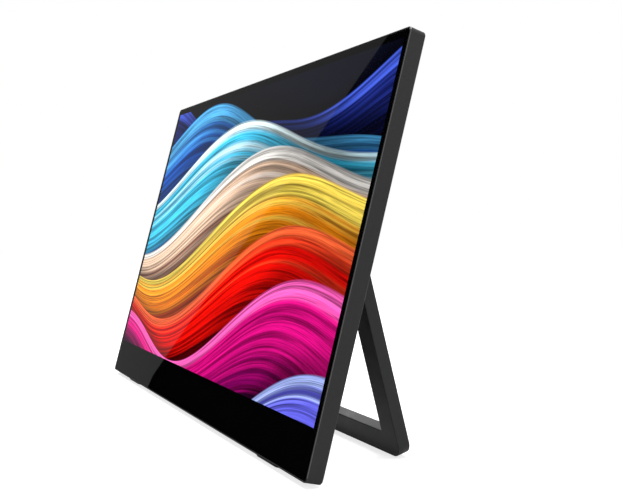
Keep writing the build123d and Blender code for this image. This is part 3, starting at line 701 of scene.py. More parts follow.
@dataclass(frozen=True)
class FineGrain:
    """Grain of a blasted or moulded skin: two fine noises added, and a slow drift over the piece.

    The coarse noise has coarse_scale times the scale of the fine one.
    """

    coarse_scale: float = 0.31
    fine_share: float = 0.65
    coarse_share: float = 0.35

    def build(self) -> bpy.types.NodeTree:
        """Build the group.

        Returns:
            A group with the grain's size going in, and its height, tone and drift coming out.
        """
        inputs = {"Vector": "Vector", "Grain Scale": "Float", "Drift Scale": "Float"}
        graph, given, out = open_group("fine_grain", inputs, ("Height", "Tone", "Drift"))
        vector, scale = given["Vector"], given["Grain Scale"]
        fine = graph.noise(vector, scale, rough=0.6)
        coarse = graph.noise(vector, graph.times(scale, self.coarse_scale))
        shares = graph.times(fine, self.fine_share), graph.times(coarse, self.coarse_share)
        height = graph.math("ADD", *shares)
        drift = graph.noise(vector, given["Drift Scale"], detail=3.0, rough=0.55)
        tone = graph.spread(height, NOISE_SPAN)
        graph.fill(out, Height=height, Tone=tone, Drift=graph.spread(drift, NOISE_SPAN, ease=True))
        return graph.tree


@dataclass(frozen=True)
class TouchMarks:
    """Faint marks of handling: streaks of stretched noise in some areas, and chosen dots of dust."""

    stretch: Place = (1.0, 9.0, 1.0)
    streak_scale: float = 26.0
    streak_span: Pair = (0.45, 0.7)
    area_scale: float = 17.0
    area_span: Pair = (0.48, 0.68)
    dot_scale: float = 320.0
    dot_edge: Pair = (0.045, 0.09)
    choice_scale: float = 140.0
    choice_limit: float = 0.62

    def build(self) -> bpy.types.NodeTree:
        """Build the group.

        Returns:
            A group that gives masks of wiped streaks and of dust.
        """
        inputs = {"Vector": "Vector", "Streak Turn": "Float"}
        graph, given, out = open_group("touch_marks", inputs, ("Smear", "Dust"))
        vector = given["Vector"]
        turn = graph.fill(graph.node("CombineXYZ"), Z=given["Streak Turn"]).outputs[0]
        turning = graph.node("VectorRotate", rotation_type="EULER_XYZ")
        rotated = graph.fill(turning, Vector=vector, Rotation=turn).outputs[0]
        stretched = graph.vectors("MULTIPLY", rotated, self.stretch)[0]
        noise = graph.noise(stretched, self.streak_scale, detail=4.0, rough=0.6)
        streaks = graph.spread(noise, self.streak_span, ease=True)
        noise = graph.noise(vector, self.area_scale, detail=3.0)
        areas = graph.spread(noise, self.area_span, ease=True)
        cells = graph.fill(graph.node("TexVoronoi", feature="F1"), Vector=vector, Scale=self.dot_scale)
        dots = graph.spread(cells.outputs["Distance"], self.dot_edge, (1.0, 0.0))
        noise = graph.noise(vector, self.choice_scale, detail=1.0)
        chosen = graph.math("GREATER_THAN", noise, self.choice_limit)
        graph.fill(out, Smear=graph.times(streaks, areas), Dust=graph.times(dots, chosen))
        return graph.tree


@dataclass(frozen=True)
class HairLines:
    """Fine parallel lines of rolled or brushed metal: noise stretched fifty times along X."""

    stretch: Place = (0.02, 1.0, 1.0)

    def build(self) -> bpy.types.NodeTree:
        """Build the group.

        Returns:
            A group that gives the lines' height.
        """
        graph, given, out = open_group("hair_lines", {"Vector": "Vector", "Scale": "Float"}, ("Height",))
        stretched = graph.vectors("MULTIPLY", given["Vector"], self.stretch)[0]
        graph.fill(out, Height=graph.noise(stretched, given["Scale"], detail=3.0, rough=0.6))
        return graph.tree


@dataclass(frozen=True)
class WaveLayer:
    """One layer of stranded hills laid over a colour.

    The crest stands at level + swing * (sin(pace * u + phase) + second_share * sin(second_pace *
    pace * u + second_phase * phase)). The depth under it is measured in widths, and the width itself
    swells and shrinks along u. The colour goes from crest to body to shade with the depth, times
    strands of noise that is stretched along the crest, and the layer behind is darkened just above
    the crest.
    """

    second_share: float = 0.35
    second_pace: float = 2.3
    second_phase: float = 1.7
    swell_pace: float = 1.35
    swell_share: float = 0.42
    swell_middle: float = 0.8
    stretch: Place = (0.11, 2.6, 3.1)
    broad: Place = (2.2, 2.0, 0.5)
    middle: Place = (7.0, 3.0, 0.6)
    fine: Place = (21.0, 3.0, 0.7)
    sway: float = 1.9
    body_span: Pair = (-0.05, 0.4)
    shade_span: Pair = (0.5, 1.35)
    furrow_span: Pair = (0.36, 0.6)
    furrow_range: Pair = (0.35, 1.0)
    thread_span: Pair = (0.0, 0.16)
    thread_range: Pair = (1.55, 0.82)
    shadow_span: Pair = (-0.55, 0.0)
    shadow_range: Pair = (1.0, 0.4)
    crest_edge: Pair = (-0.012, 0.012)

    def crest(self, graph: Graph, u: Socket, wave: Sequence[Socket]) -> Socket:
        """The height of the crest.

        Args:
            graph: The group's graph.
            u: The place along the crest.
            wave: The crest's level, swing, pace and phase.

        Returns:
            The height's socket.
        """
        level, swing, pace, phase = wave
        first = graph.math("SINE", graph.math("MULTIPLY_ADD", u, pace, phase))
        quicker = graph.times(graph.times(u, pace), self.second_pace)
        second = graph.math("SINE", graph.math("MULTIPLY_ADD", phase, self.second_phase, quicker))
        both = graph.math("MULTIPLY_ADD", second, self.second_share, first)
        return graph.math("MULTIPLY_ADD", both, swing, level)

    def build(self) -> bpy.types.NodeTree:
        """Build the group.

        Returns:
            A group with the place, the crest's numbers and four colours going in and a colour out.
        """
        numbers = ("U", "V", "Level", "Swing", "Pace", "Phase", "Width")
        inputs = {label: "Float" for label in numbers}
        inputs |= {label: "Color" for label in ("Below", "Crest", "Body", "Shade")}
        graph, given, out = open_group("wave_layer", inputs, ("Color",), "Color")
        u, v, *wave, width = (given[label] for label in numbers)
        phase = given["Phase"]
        crest = self.crest(graph, u, wave)
        swell = graph.math("SINE", graph.math("MULTIPLY_ADD", u, self.swell_pace, phase))
        breadth = graph.math("MULTIPLY_ADD", swell, self.swell_share, self.swell_middle)
        local_width = graph.times(width, breadth)
        depth = graph.math("DIVIDE", graph.math("SUBTRACT", crest, v), local_width)
        strands = graph.node("CombineXYZ")
        along, down, apart = (graph.times(*pair) for pair in zip((u, depth, phase), self.stretch))
        graph.fill(strands, X=along, Y=down, Z=apart)
        noises = [graph.noise(strands.outputs[0], *kind) for kind in (self.broad, self.middle, self.fine)]
        sunk = graph.math("MULTIPLY_ADD", graph.math("SUBTRACT", noises[0], 0.5), self.sway, depth)
        upper = graph.mix(graph.spread(sunk, self.body_span, ease=True), given["Crest"], given["Body"])
        lower = graph.mix(graph.spread(sunk, self.shade_span, ease=True), upper, given["Shade"])
        furrows = graph.spread(noises[1], self.furrow_span, self.furrow_range, True)
        threads = graph.spread(graph.away(noises[2], 0.5), self.thread_span, self.thread_range, True)
        shadow = graph.spread(depth, self.shadow_span, self.shadow_range, True)
        glow, behind = (graph.node("VectorMath", operation="SCALE") for _ in range(2))
        graph.fill(glow, Vector=lower, Scale=graph.times(furrows, threads))
        graph.fill(behind, Vector=given["Below"], Scale=shadow)
        inside = graph.spread(depth, self.crest_edge)
        graph.fill(out, Color=graph.mix(inside, behind.outputs[0], glow.outputs[0]))
        return graph.tree


EDGE_SHEEN_AND_WEAR = EdgeSheenAndWear().build()
FINE_GRAIN = FineGrain().build()
TOUCH_MARKS = TouchMarks().build()
HAIR_LINES = HairLines().build()
WAVE_LAYER = WaveLayer().build()


def open_material(name: str) -> tuple[bpy.types.Material, Graph, bpy.types.Node]:
    """Start a material with one Principled shader.

    Args:
        name: The material's name.

    Returns:
        The material, its graph and the shader.
    """
    material = bpy.data.materials.new(name)
    material.use_nodes = True
    shader = next(node for node in material.node_tree.nodes if node.type == "BSDF_PRINCIPLED")
    return material, Graph(material.node_tree), shader


def panel_axes(graph: Graph) -> list[Socket]:
    """The X, Y and Z of a point in the panel frame."""
    return graph.split(graph.place(LEANED, PANEL.shift))


@dataclass(frozen=True)
class Finish:
    """What every finish has: a name and a linear colour. Each kind writes its own dress method."""

    name: str
    colour: Colour

    def build(self) -> bpy.types.Material:
        """Build the material.

        Returns:
            The material, dressed.
        """
        material, graph, shader = open_material(self.name)
        self.dress(graph, shader)
        return material

    def tint(self, graph: Graph, share: Value, low: float, high: float) -> Socket:
        """Mix a darker and a paler share of the finish's own colour."""
        return graph.mix(share, scaled(self.colour, low), scaled(self.colour, high))

    def bump(self, graph: Graph, height: Socket, depth: float) -> Socket:
        """The normal of a height between 0 and 1, whose 1 measures the depth in metres."""
        return graph.fill(graph.node("Bump"), Height=height, Distance=depth, Strength=1.0).outputs[0]

    def sheen_and_wear_mask(self, graph: Graph, vector: Socket, width: float, patch_scale: float) -> Socket:
        """Where edges of a width are painted paler, a painted edge highlight and wear, in patches so many to a
        metre.
        """
        return graph.group(EDGE_SHEEN_AND_WEAR, Vector=vector, Width=width, Patch_Scale=patch_scale)["Mask"]

    def dress(self, graph: Graph, shader: bpy.types.Node) -> None:
        """Give the material's shader the finish's plain colour."""
        graph.fill(shader, Base_Color=self.colour)


@dataclass(frozen=True)
class CutEdge:
    """A bright chamfer cut along the front rim of the housing, found by its place in the panel."""

    half_width: float = -LEFT_FACE
    half_height: float = 112.0 * MM
    corner: float = 3.0 * MM
    reach: float = 0.2 * MM
    fade: float = 0.03 * MM
    bright: Colour = grey(0.12)
    roughness: float = 0.24

    def mask(self, graph: Graph) -> Socket:
        """Mask of the points within reach of both the outline and the front plane.

        The inset from the outline is the corner radius less the distance from the rectangle that
        the corners' centres span.

        Args:
            graph: The material's graph.

        Returns:
            The mask's socket.
        """
        x, y, z = panel_axes(graph)
        centres = (self.half_width - self.corner, self.half_height - self.corner)
        outside = graph.outside(graph.away(x), graph.away(z, self.half_height), centres)
        inset = graph.math("SUBTRACT", self.corner, outside)
        edge = (self.reach, self.reach + self.fade)
        return graph.times(graph.spread(inset, edge, (1.0, 0.0)), graph.spread(y, edge, (1.0, 0.0)))


@dataclass(frozen=True)
class SatinMetal(Finish):
    """Blasted and anodised aluminium: fine grain, slow tone drift, edges painted paler as a painted edge highlight
    and as wear.
    """

    # paler colour of the edges: a painted edge highlight, and wear
    lit_and_worn: Colour
    cut_edge: CutEdge | None = None
    roughness: float = 0.44
    metallic: float = 0.05
    specular: float = 0.2
    grain: float = 5200.0
    depth: float = 0.0018 * MM
    edge_width: float = 0.22 * MM
    patch_scale: float = 60.0
    drift_scale: float = 24.0
    streak_turn: float = 0.4
    dust: Colour = (0.3, 0.29, 0.28, 1.0)
    darker: float = 0.9
    paler: float = 1.12
    tone_share: float = 0.6
    drift_share: float = 0.35
    sheen_and_wear_share: float = 0.55
    dust_share: float = 0.1
    rough_swing: Pair = (0.03, 0.04)
    smear_polish: float = 0.07
    rub_polish: float = 0.12

    def dress(self, graph: Graph, shader: bpy.types.Node) -> None:
        """Lay drift, paler edges (a painted edge highlight, and wear) and dust over the grain, and a bright cut
        edge where it has one.

        Args:
            graph: The material's graph.
            shader: The material's shader.
        """
        vector = graph.place(LEANED)
        grain = graph.group(FINE_GRAIN, Vector=vector, Grain_Scale=self.grain, Drift_Scale=self.drift_scale)
        sheen_and_wear = self.sheen_and_wear_mask(graph, vector, self.edge_width, self.patch_scale)
        marks = graph.group(TOUCH_MARKS, Vector=vector, Streak_Turn=self.streak_turn)
        toned = self.tint(graph, graph.times(grain["Tone"], self.tone_share), self.darker, self.paler)
        pale = scaled(self.colour, self.paler)
        drifted = graph.mix(graph.times(grain["Drift"], self.drift_share), toned, pale)
        # painted edge highlight and wear: the edges are mixed towards the paler colour
        lit_and_worn = graph.mix(graph.times(sheen_and_wear, self.sheen_and_wear_share), drifted, self.lit_and_worn)
        colour = graph.mix(graph.times(marks["Dust"], self.dust_share), lit_and_worn, self.dust)
        rough = graph.spread(grain["Drift"], UNIT, around(self.roughness, *self.rough_swing))
        rough = graph.math("SUBTRACT", rough, graph.times(marks["Smear"], self.smear_polish))
        rough = graph.math("SUBTRACT", rough, graph.times(sheen_and_wear, self.rub_polish))
        graph.fill(shader, Metallic=self.metallic, Specular_IOR_Level=self.specular)
        if self.cut_edge is not None:
            cut = self.cut_edge.mask(graph)
            colour = graph.mix(cut, colour, self.cut_edge.bright)
            rough = graph.spread(cut, UNIT, (rough, self.cut_edge.roughness))
            graph.fill(shader, Metallic=graph.spread(cut, UNIT, (self.metallic, 1.0)))
        normal = self.bump(graph, grain["Height"], self.depth)
        graph.fill(shader, Base_Color=colour, Roughness=rough, Normal=normal)


@dataclass(frozen=True)
class MouldedPlastic(Finish):
    """Spark-textured or plain moulded plastic, its edges painted paler: a faint painted sheen, and wear."""

    roughness: float = 0.5
    grain: float = 2600.0
    depth: float = 0.006 * MM
    sheen_and_wear_strength: float = 0.25
    edge_width: float = 0.2 * MM
    patch_scale: float = 80.0
    drift_scale: float = 35.0
    streak_turn: float = 1.1
    dust: Colour = (0.34, 0.33, 0.32, 1.0)
    tones: Pair = (0.84, 1.16)
    sheen_and_wear_lift: float = 2.2
    dust_share: float = 0.16
    rough_swing: Pair = (0.05, 0.05)
    worn_polish: float = 0.4

    def dress(self, graph: Graph, shader: bpy.types.Node) -> None:
        """Lay paler edges, a painted sheen and wear, and dust over the grain.

        Args:
            graph: The material's graph.
            shader: The material's shader.
        """
        vector = graph.place(LEANED)
        grain = graph.group(FINE_GRAIN, Vector=vector, Grain_Scale=self.grain, Drift_Scale=self.drift_scale)
        sheen_and_wear = self.sheen_and_wear_mask(graph, vector, self.edge_width, self.patch_scale)
        dust = graph.group(TOUCH_MARKS, Vector=vector, Streak_Turn=self.streak_turn)["Dust"]
        # painted sheen and wear: the edges are mixed towards a paler shade of the colour
        faint_sheen_and_wear = graph.times(sheen_and_wear, self.sheen_and_wear_strength)
        toned = self.tint(graph, grain["Tone"], *self.tones)
        lit_and_worn = graph.mix(faint_sheen_and_wear, toned, scaled(self.colour, self.sheen_and_wear_lift))
        rough = graph.spread(grain["Drift"], UNIT, around(self.roughness, *self.rough_swing))
        graph.fill(
            shader,
            Base_Color=graph.mix(graph.times(dust, self.dust_share), lit_and_worn, self.dust),
            Roughness=graph.math("SUBTRACT", rough, graph.times(faint_sheen_and_wear, self.worn_polish)),
            Normal=self.bump(graph, grain["Height"], self.depth),
        )


@dataclass(frozen=True)
class Tongues:
    """The moulded tongues inside the sockets: height, half width and half thickness of each."""

    colour: Colour = (0.016, 0.016, 0.017, 1.0)
    roughness: float = 0.45
    places: tuple[Place, ...] = (
        (LOWER_SOCKET, 3.38 * MM, 0.38 * MM),
        (UPPER_SOCKET, 3.38 * MM, 0.38 * MM),
        (VIDEO_SOCKET, 4.03 * MM, 0.43 * MM),
    )

    def mask(self, graph: Graph) -> Socket:
        """Mask of the points within a tongue's half width and half thickness.

        Args:
            graph: The material's graph.

        Returns:
            The mask's socket.
        """
        _, y, z = panel_axes(graph)
        off_line = graph.away(y, SOCKET_LINE)
        found: Value = 0.0
        for height, half_width, half_thickness in self.places:
            wide = graph.math("LESS_THAN", graph.away(z, height), half_width)
            thin = graph.math("LESS_THAN", off_line, half_thickness)
            found = graph.math("MAXIMUM", found, graph.times(wide, thin))
        return found


@dataclass(frozen=True)
class PlatedMetal(Finish):
    """Plated sheet or turned metal: fine lines, clouded plating, moulded tongues if it has them."""

    roughness: float = 0.25
    lines: float = 4000.0
    tongues: Tongues | None = None
    depth: float = 0.0015 * MM
    edge_width: float = 0.12 * MM
    patch_scale: float = 120.0
    clouds: Place = (90.0, 4.0, 0.6)
    tones: Pair = (0.82, 1.1)
    sheen_and_wear_tone: float = 1.5
    sheen_and_wear_share: float = 0.4
    rough_swing: Pair = (0.06, 0.08)

    def dress(self, graph: Graph, shader: bpy.types.Node) -> None:
        """Lay clouds and paler edges, a painted edge highlight and wear, over the lines, and mask out the tongues.

        Args:
            graph: The material's graph.
            shader: The material's shader.
        """
        vector = graph.place(LEANED)
        lines = graph.group(HAIR_LINES, Vector=vector, Scale=self.lines)["Height"]
        clouds = graph.noise(vector, *self.clouds)
        sheen_and_wear = self.sheen_and_wear_mask(graph, vector, self.edge_width, self.patch_scale)
        cloudy = self.tint(graph, clouds, *self.tones)
        # painted edge highlight and wear: the edges are mixed towards a paler shade of the colour
        colour = graph.mix(graph.times(sheen_and_wear, self.sheen_and_wear_share), cloudy, scaled(self.colour, self.sheen_and_wear_tone))
        rough = graph.spread(clouds, NOISE_SPAN, around(self.roughness, *self.rough_swing))
        graph.fill(shader, Metallic=1.0)
        if self.tongues is not None:
            moulded = self.tongues.mask(graph)
            colour = graph.mix(moulded, colour, self.tongues.colour)
            rough = graph.spread(moulded, UNIT, (rough, self.tongues.roughness))
            graph.fill(shader, Metallic=graph.math("SUBTRACT", 1.0, moulded))
        graph.fill(shader, Base_Color=colour, Roughness=rough, Normal=self.bump(graph, lines, self.depth))


@dataclass(frozen=True)
class SoftRubber(Finish):
    """Rubber or foam: broad dull sheen, small pores and pale dust."""

    roughness: float = 0.75
    pores: float = 1500.0
    depth: float = 0.01 * MM
    drift_scale: float = 60.0
    dust: Colour = (0.26, 0.25, 0.24, 1.0)
    tones: Pair = (0.75, 1.3)
    dust_share: float = 0.3
    rough_swing: Pair = (0.08, 0.08)

    def dress(self, graph: Graph, shader: bpy.types.Node) -> None:
        """Lay dust over the pores.

        Args:
            graph: The material's graph.
            shader: The material's shader.
        """
        vector = graph.place()
        grain = graph.group(FINE_GRAIN, Vector=vector, Grain_Scale=self.pores, Drift_Scale=self.drift_scale)
        dust = graph.group(TOUCH_MARKS, Vector=vector, Streak_Turn=0.0)["Dust"]
        toned = self.tint(graph, grain["Tone"], *self.tones)
        graph.fill(
            shader,
            Base_Color=graph.mix(graph.times(dust, self.dust_share), toned, self.dust),
            Roughness=graph.spread(grain["Drift"], UNIT, around(self.roughness, *self.rough_swing)),
            Normal=self.bump(graph, grain["Height"], self.depth),
        )


@dataclass(frozen=True)
class PrintedBoard(Finish):
    """Circuit board: solder mask over a grid of raised tracks, with bare gold pads."""

    pitch: float = 900.0
    depth: float = 0.03 * MM
    gold: Colour = (0.72, 0.48, 0.16, 1.0)
    track_edge: Pair = (0.42, 0.5)
    pad_edge: Pair = (0.1, 0.13)
    pad_noise: Pair = (300.0, 1.0)
    pad_limit: float = 0.6
    tones: Pair = (1.0, 1.9)
    roughness: Pair = (0.38, 0.24)

    def dress(self, graph: Graph, shader: bpy.types.Node) -> None:
        """Raise tracks between the cells and bare a pad in the middle of some.

        Args:
            graph: The material's graph.
            shader: The material's shader.
        """
        vector = graph.place(LEANED)
        cells = graph.node("TexVoronoi", feature="F1", distance="MANHATTAN")
        from_middle = graph.fill(cells, Vector=vector, Scale=self.pitch).outputs["Distance"]
        tracks = graph.spread(from_middle, self.track_edge)
        chosen = graph.math("GREATER_THAN", graph.noise(vector, *self.pad_noise), self.pad_limit)
        bare = graph.times(graph.spread(from_middle, self.pad_edge, (1.0, 0.0)), chosen)
        graph.fill(
            shader,
            Base_Color=graph.mix(bare, self.tint(graph, tracks, *self.tones), self.gold),
            Metallic=bare,
            Roughness=graph.spread(bare, UNIT, self.roughness),
            Normal=self.bump(graph, tracks, self.depth),
        )


@dataclass(frozen=True)
class PlainFilm(Finish):
    """Film, glass sheet or clear plastic: even colour with a slow cloud and a fine ripple."""

    roughness: float = 0.2
    transmission: float = 0.0
    depth: float = 0.002 * MM
    clouds: Pair = (45.0, 3.0)
    ripple_scale: float = 700.0
    tones: Pair = (0.93, 1.05)
    rough_swing: Pair = (0.0, 0.06)

    def dress(self, graph: Graph, shader: bpy.types.Node) -> None:
        """Cloud the colour and the gloss, and ripple the face.

        Args:
            graph: The material's graph.
            shader: The material's shader.
        """
        vector = graph.place(LEANED)
        clouds = graph.noise(vector, *self.clouds)
        graph.fill(
            shader,
            Base_Color=self.tint(graph, clouds, *self.tones),
            Roughness=graph.spread(clouds, NOISE_SPAN, around(self.roughness, *self.rough_swing)),
            Transmission_Weight=self.transmission,
            Normal=self.bump(graph, graph.noise(vector, self.ripple_scale), self.depth),
        )


@dataclass(frozen=True)
class Wave:
    """One hill of the screen's picture, as shares of the lit area's half sizes."""

    crest: Colour
    body: Colour
    shade: Colour
    level: float
    swing: float
    pace: float
    phase: float
    width: float


@dataclass(frozen=True)
class LitGlass(Finish):
    """Glossy black glass that shows a picture of stacked hills inside the lit area."""

    half_width: float = 172.08 * MM
    half_height: float = 96.8 * MM
    middle: float = 122.0 * MM
    deepest: float = GLASS_RECESS + 0.3 * GLASS_THICKNESS
    roughness: float = 0.012
    dust: Colour = grey(0.2)
    dust_share: float = 0.02
    smear_rough: float = 0.03
    streak_turn: float = 0.7
    sky: Colour = srgb(8, 10, 26)
    waves: tuple[Wave, ...] = (
        Wave(srgb(70, 96, 220), srgb(30, 44, 130), srgb(10, 12, 48), 0.86, 0.2, 2.3, 4.4, 0.5),
        Wave(srgb(90, 190, 255), srgb(20, 92, 196), srgb(4, 20, 84), 0.58, 0.3, 1.7, 2.2, 0.6),
        Wave(srgb(230, 252, 255), srgb(66, 206, 248), srgb(8, 96, 186), 0.36, 0.32, 1.55, 1.35, 0.6),
        Wave(srgb(255, 250, 244), srgb(246, 208, 178), srgb(150, 84, 66), 0.1, 0.36, 1.5, 0.75, 0.42),
        Wave(srgb(255, 226, 92), srgb(255, 148, 20), srgb(196, 48, 8), -0.08, 0.36, 1.55, 0.35, 0.5),
        Wave(srgb(255, 104, 56), srgb(244, 14, 6), srgb(92, 0, 4), -0.36, 0.34, 1.7, 0.0, 0.52),
        Wave(srgb(255, 100, 190), srgb(222, 14, 130), srgb(78, 0, 66), -0.62, 0.32, 1.9, -0.5, 0.55),
        Wave(srgb(172, 190, 255), srgb(98, 98, 224), srgb(32, 14, 96), -1.02, 0.3, 2.1, -1.3, 0.5),
    )

    def dress(self, graph: Graph, shader: bpy.types.Node) -> None:
        """Light the picture in the front of the lit area, and lay wiped streaks and dust over it.

        Args:
            graph: The material's graph.
            shader: The material's shader.
        """
        vector = graph.place(LEANED, PANEL.shift)
        x, y, z = graph.split(vector)
        across = graph.math("DIVIDE", x, self.half_width)
        up = graph.math("DIVIDE", graph.math("SUBTRACT", z, self.middle), self.half_height)
        picture: Socket | Colour = self.sky
        for wave in self.waves:
            picture = graph.group(
                WAVE_LAYER, U=across, V=up, Level=wave.level, Swing=wave.swing, Pace=wave.pace,
                Phase=wave.phase, Width=wave.width, Below=picture, Crest=wave.crest, Body=wave.body,
                Shade=wave.shade,
            )["Color"]
        inside, high = (graph.math("LESS_THAN", graph.away(value), 1.0) for value in (across, up))
        front = graph.math("LESS_THAN", y, self.deepest)
        lit = graph.times(graph.times(inside, high), front)
        marks = graph.group(TOUCH_MARKS, Vector=vector, Streak_Turn=self.streak_turn)
        graph.fill(
            shader,
            Emission_Color=graph.mix(lit, grey(0.0), picture),
            Emission_Strength=1.0,
            Base_Color=graph.mix(graph.times(marks["Dust"], self.dust_share), self.colour, self.dust),
            Roughness=graph.math("MULTIPLY_ADD", marks["Smear"], self.smear_rough, self.roughness),
        )


FINISHES = {
    "cover_glass": LitGlass("lit_glass", (0.0012, 0.0012, 0.0014, 1.0)),
    "tape": SoftRubber("black_tape", grey(0.02)),
    "clear_film": PlainFilm("sensor_film", (0.8, 0.82, 0.84, 1.0), 0.1),
    "display_glass": PlainFilm("cell_glass", (0.03, 0.03, 0.035, 1.0), 0.05),
    "circuit_board": PrintedBoard("green_board", (0.02, 0.16, 0.08, 1.0)),
    "cable_film": PlainFilm("amber_film", (0.42, 0.2, 0.06, 1.0), 0.3),
    "light_guide": PlainFilm("guide_acrylic", (0.85, 0.87, 0.88, 1.0), 0.05),
    "reflector": PlainFilm("white_film", grey(0.9), 0.4),
    "led_strip": PrintedBoard("light_strip", (0.8, 0.78, 0.66, 1.0), 500.0),
    "black_plastic": MouldedPlastic("black_moulding", grey(0.02)),
    "panel_metal": PlatedMetal("panel_sheet", (0.6, 0.61, 0.62, 1.0), 0.35, 2500.0),
    # grey(0.09) is the paler edge colour: a painted edge highlight, and wear
    "housing_metal": SatinMetal("housing_anodised", (0.019, 0.019, 0.0192, 1.0), grey(0.09), CutEdge()),
    "cover_plastic": MouldedPlastic("cover_moulding", (0.026, 0.027, 0.029, 1.0), 0.55, 2200.0, 0.012 * MM),
    "black_steel": PlatedMetal("black_zinc", (0.05, 0.05, 0.052, 1.0), 0.34),
    "rubber": SoftRubber("black_rubber", grey(0.02)),
    "chip_plastic": MouldedPlastic("chip_moulding", grey(0.025), 0.6),
    "shield_metal": PlatedMetal("tinned_sheet", grey(0.7), 0.22, 1800.0),
    "socket_metal": PlatedMetal("nickel_sheet", (0.55, 0.55, 0.56, 1.0), 0.22, tongues=Tongues()),
    "jack_plastic": MouldedPlastic("jack_moulding", grey(0.02), 0.4),
    "bright_steel": PlatedMetal("zinc_steel", grey(0.6)),
    "switch_plastic": MouldedPlastic("switch_moulding", grey(0.05), 0.45),
    "connector_plastic": MouldedPlastic("natural_moulding", (0.8, 0.78, 0.7, 1.0), 0.45),
    "button_plastic": MouldedPlastic("button_moulding", (0.032, 0.033, 0.035, 1.0), 0.42, 3600.0, 0.004 * MM),
    "clear_plastic": PlainFilm("clear_moulding", (0.85, 0.88, 0.9, 1.0), 0.15, 0.6),
    "cone": SoftRubber("coated_paper", grey(0.05), 0.7, 900.0, 0.03 * MM),
    "foam": SoftRubber("soft_foam", grey(0.03), 0.9, 1200.0, 0.04 * MM),
    # grey(0.09) is the paler edge colour: a painted edge highlight, and wear
    "stand_metal": SatinMetal("stand_anodised", (0.019, 0.019, 0.0192, 1.0), grey(0.09)),
    "washer_plastic": MouldedPlastic("washer_moulding", (0.06, 0.06, 0.062, 1.0), 0.35),
    "hinge_steel": PlatedMetal("hinge_spring_steel", grey(0.5), 0.28),
}
MATERIALS = {slot: finish.build() for slot, finish in FINISHES.items()}


def carried_wall(size: Pair, corner: float, middle: float, profile: Sequence[Array | list[Pair]]) -> Array:
    """Carry a wall's profile of inset and depth, given in runs, round an outline of the panel."""
    grid = carried_profile(size, corner, np.concatenate([np.array(run) for run in profile]), 10)
    return PANEL.place(oriented(grid, Axes.TO_BACK, (0.0, 0.0, middle)))


@dataclass
class DisplayGlass:
    """The toughened glass in front, with its polished edge."""

    width: float = 352.36 * MM
    height: float = 222.4 * MM
    corner: float = 2.3 * MM
    edges: Pair = mm(0.22, 0.1)

    def build(self) -> None:
        """Build the glass and put it on the monitor."""
        span = (GLASS_RECESS, GLASS_RECESS + GLASS_THICKNESS)
        centre = (0.0, 0.0, GLASS_INSET + self.height / 2)
        pane = slab((self.width, self.height), self.corner, span, centre, edges=self.edges, steps=10)
        glass = skin("front_glass", PANEL.place_all([pane]))
        keep_flat(glass)
        hand_over(glass, Body.MONITOR, "cover_glass", ("cover_glass",))


@dataclass
class RubberFeet:
    """The two feet under the panel, flattened where they meet the table."""

    middle: float = 126.0 * MM
    size: Pair = mm(25.0, 4.4)
    corner: float = 1.2 * MM
    depth_line: float = 5.0 * MM
    proud: float = 1.65 * MM
    seat: float = 0.4 * MM
    lower_edge: float = 0.5 * MM

    def pad(self, side: Side, below: float, edge: float, steps: int) -> Array:
        """Carry a foot's outline from below the panel up into its seat.

        Args:
            side: Which foot.
            below: How far it starts under the panel's bottom edge.
            edge: Radius of its lower edge.
            steps: Steps in each corner.

        Returns:
            A grid in the row frame.
        """
        centre = (side.value * self.middle, self.depth_line, 0.0)
        span = (-below, self.seat)
        return PANEL.place(slab(self.size, self.corner, span, centre, Axes.UPWARDS, (edge, 0.0), steps))

    def build(self) -> None:
        """Build both feet and put them on the monitor."""
        for side, word in ((Side.RIGHT, "right"), (Side.LEFT, "left")):
            foot = skin("foot_pad_" + word, [on_table(self.pad(side, self.proud, self.lower_edge, 8))])
            keep_flat(foot)
            hand_over(foot, Body.MONITOR, "rubber", ("bottom_foot_" + word,))


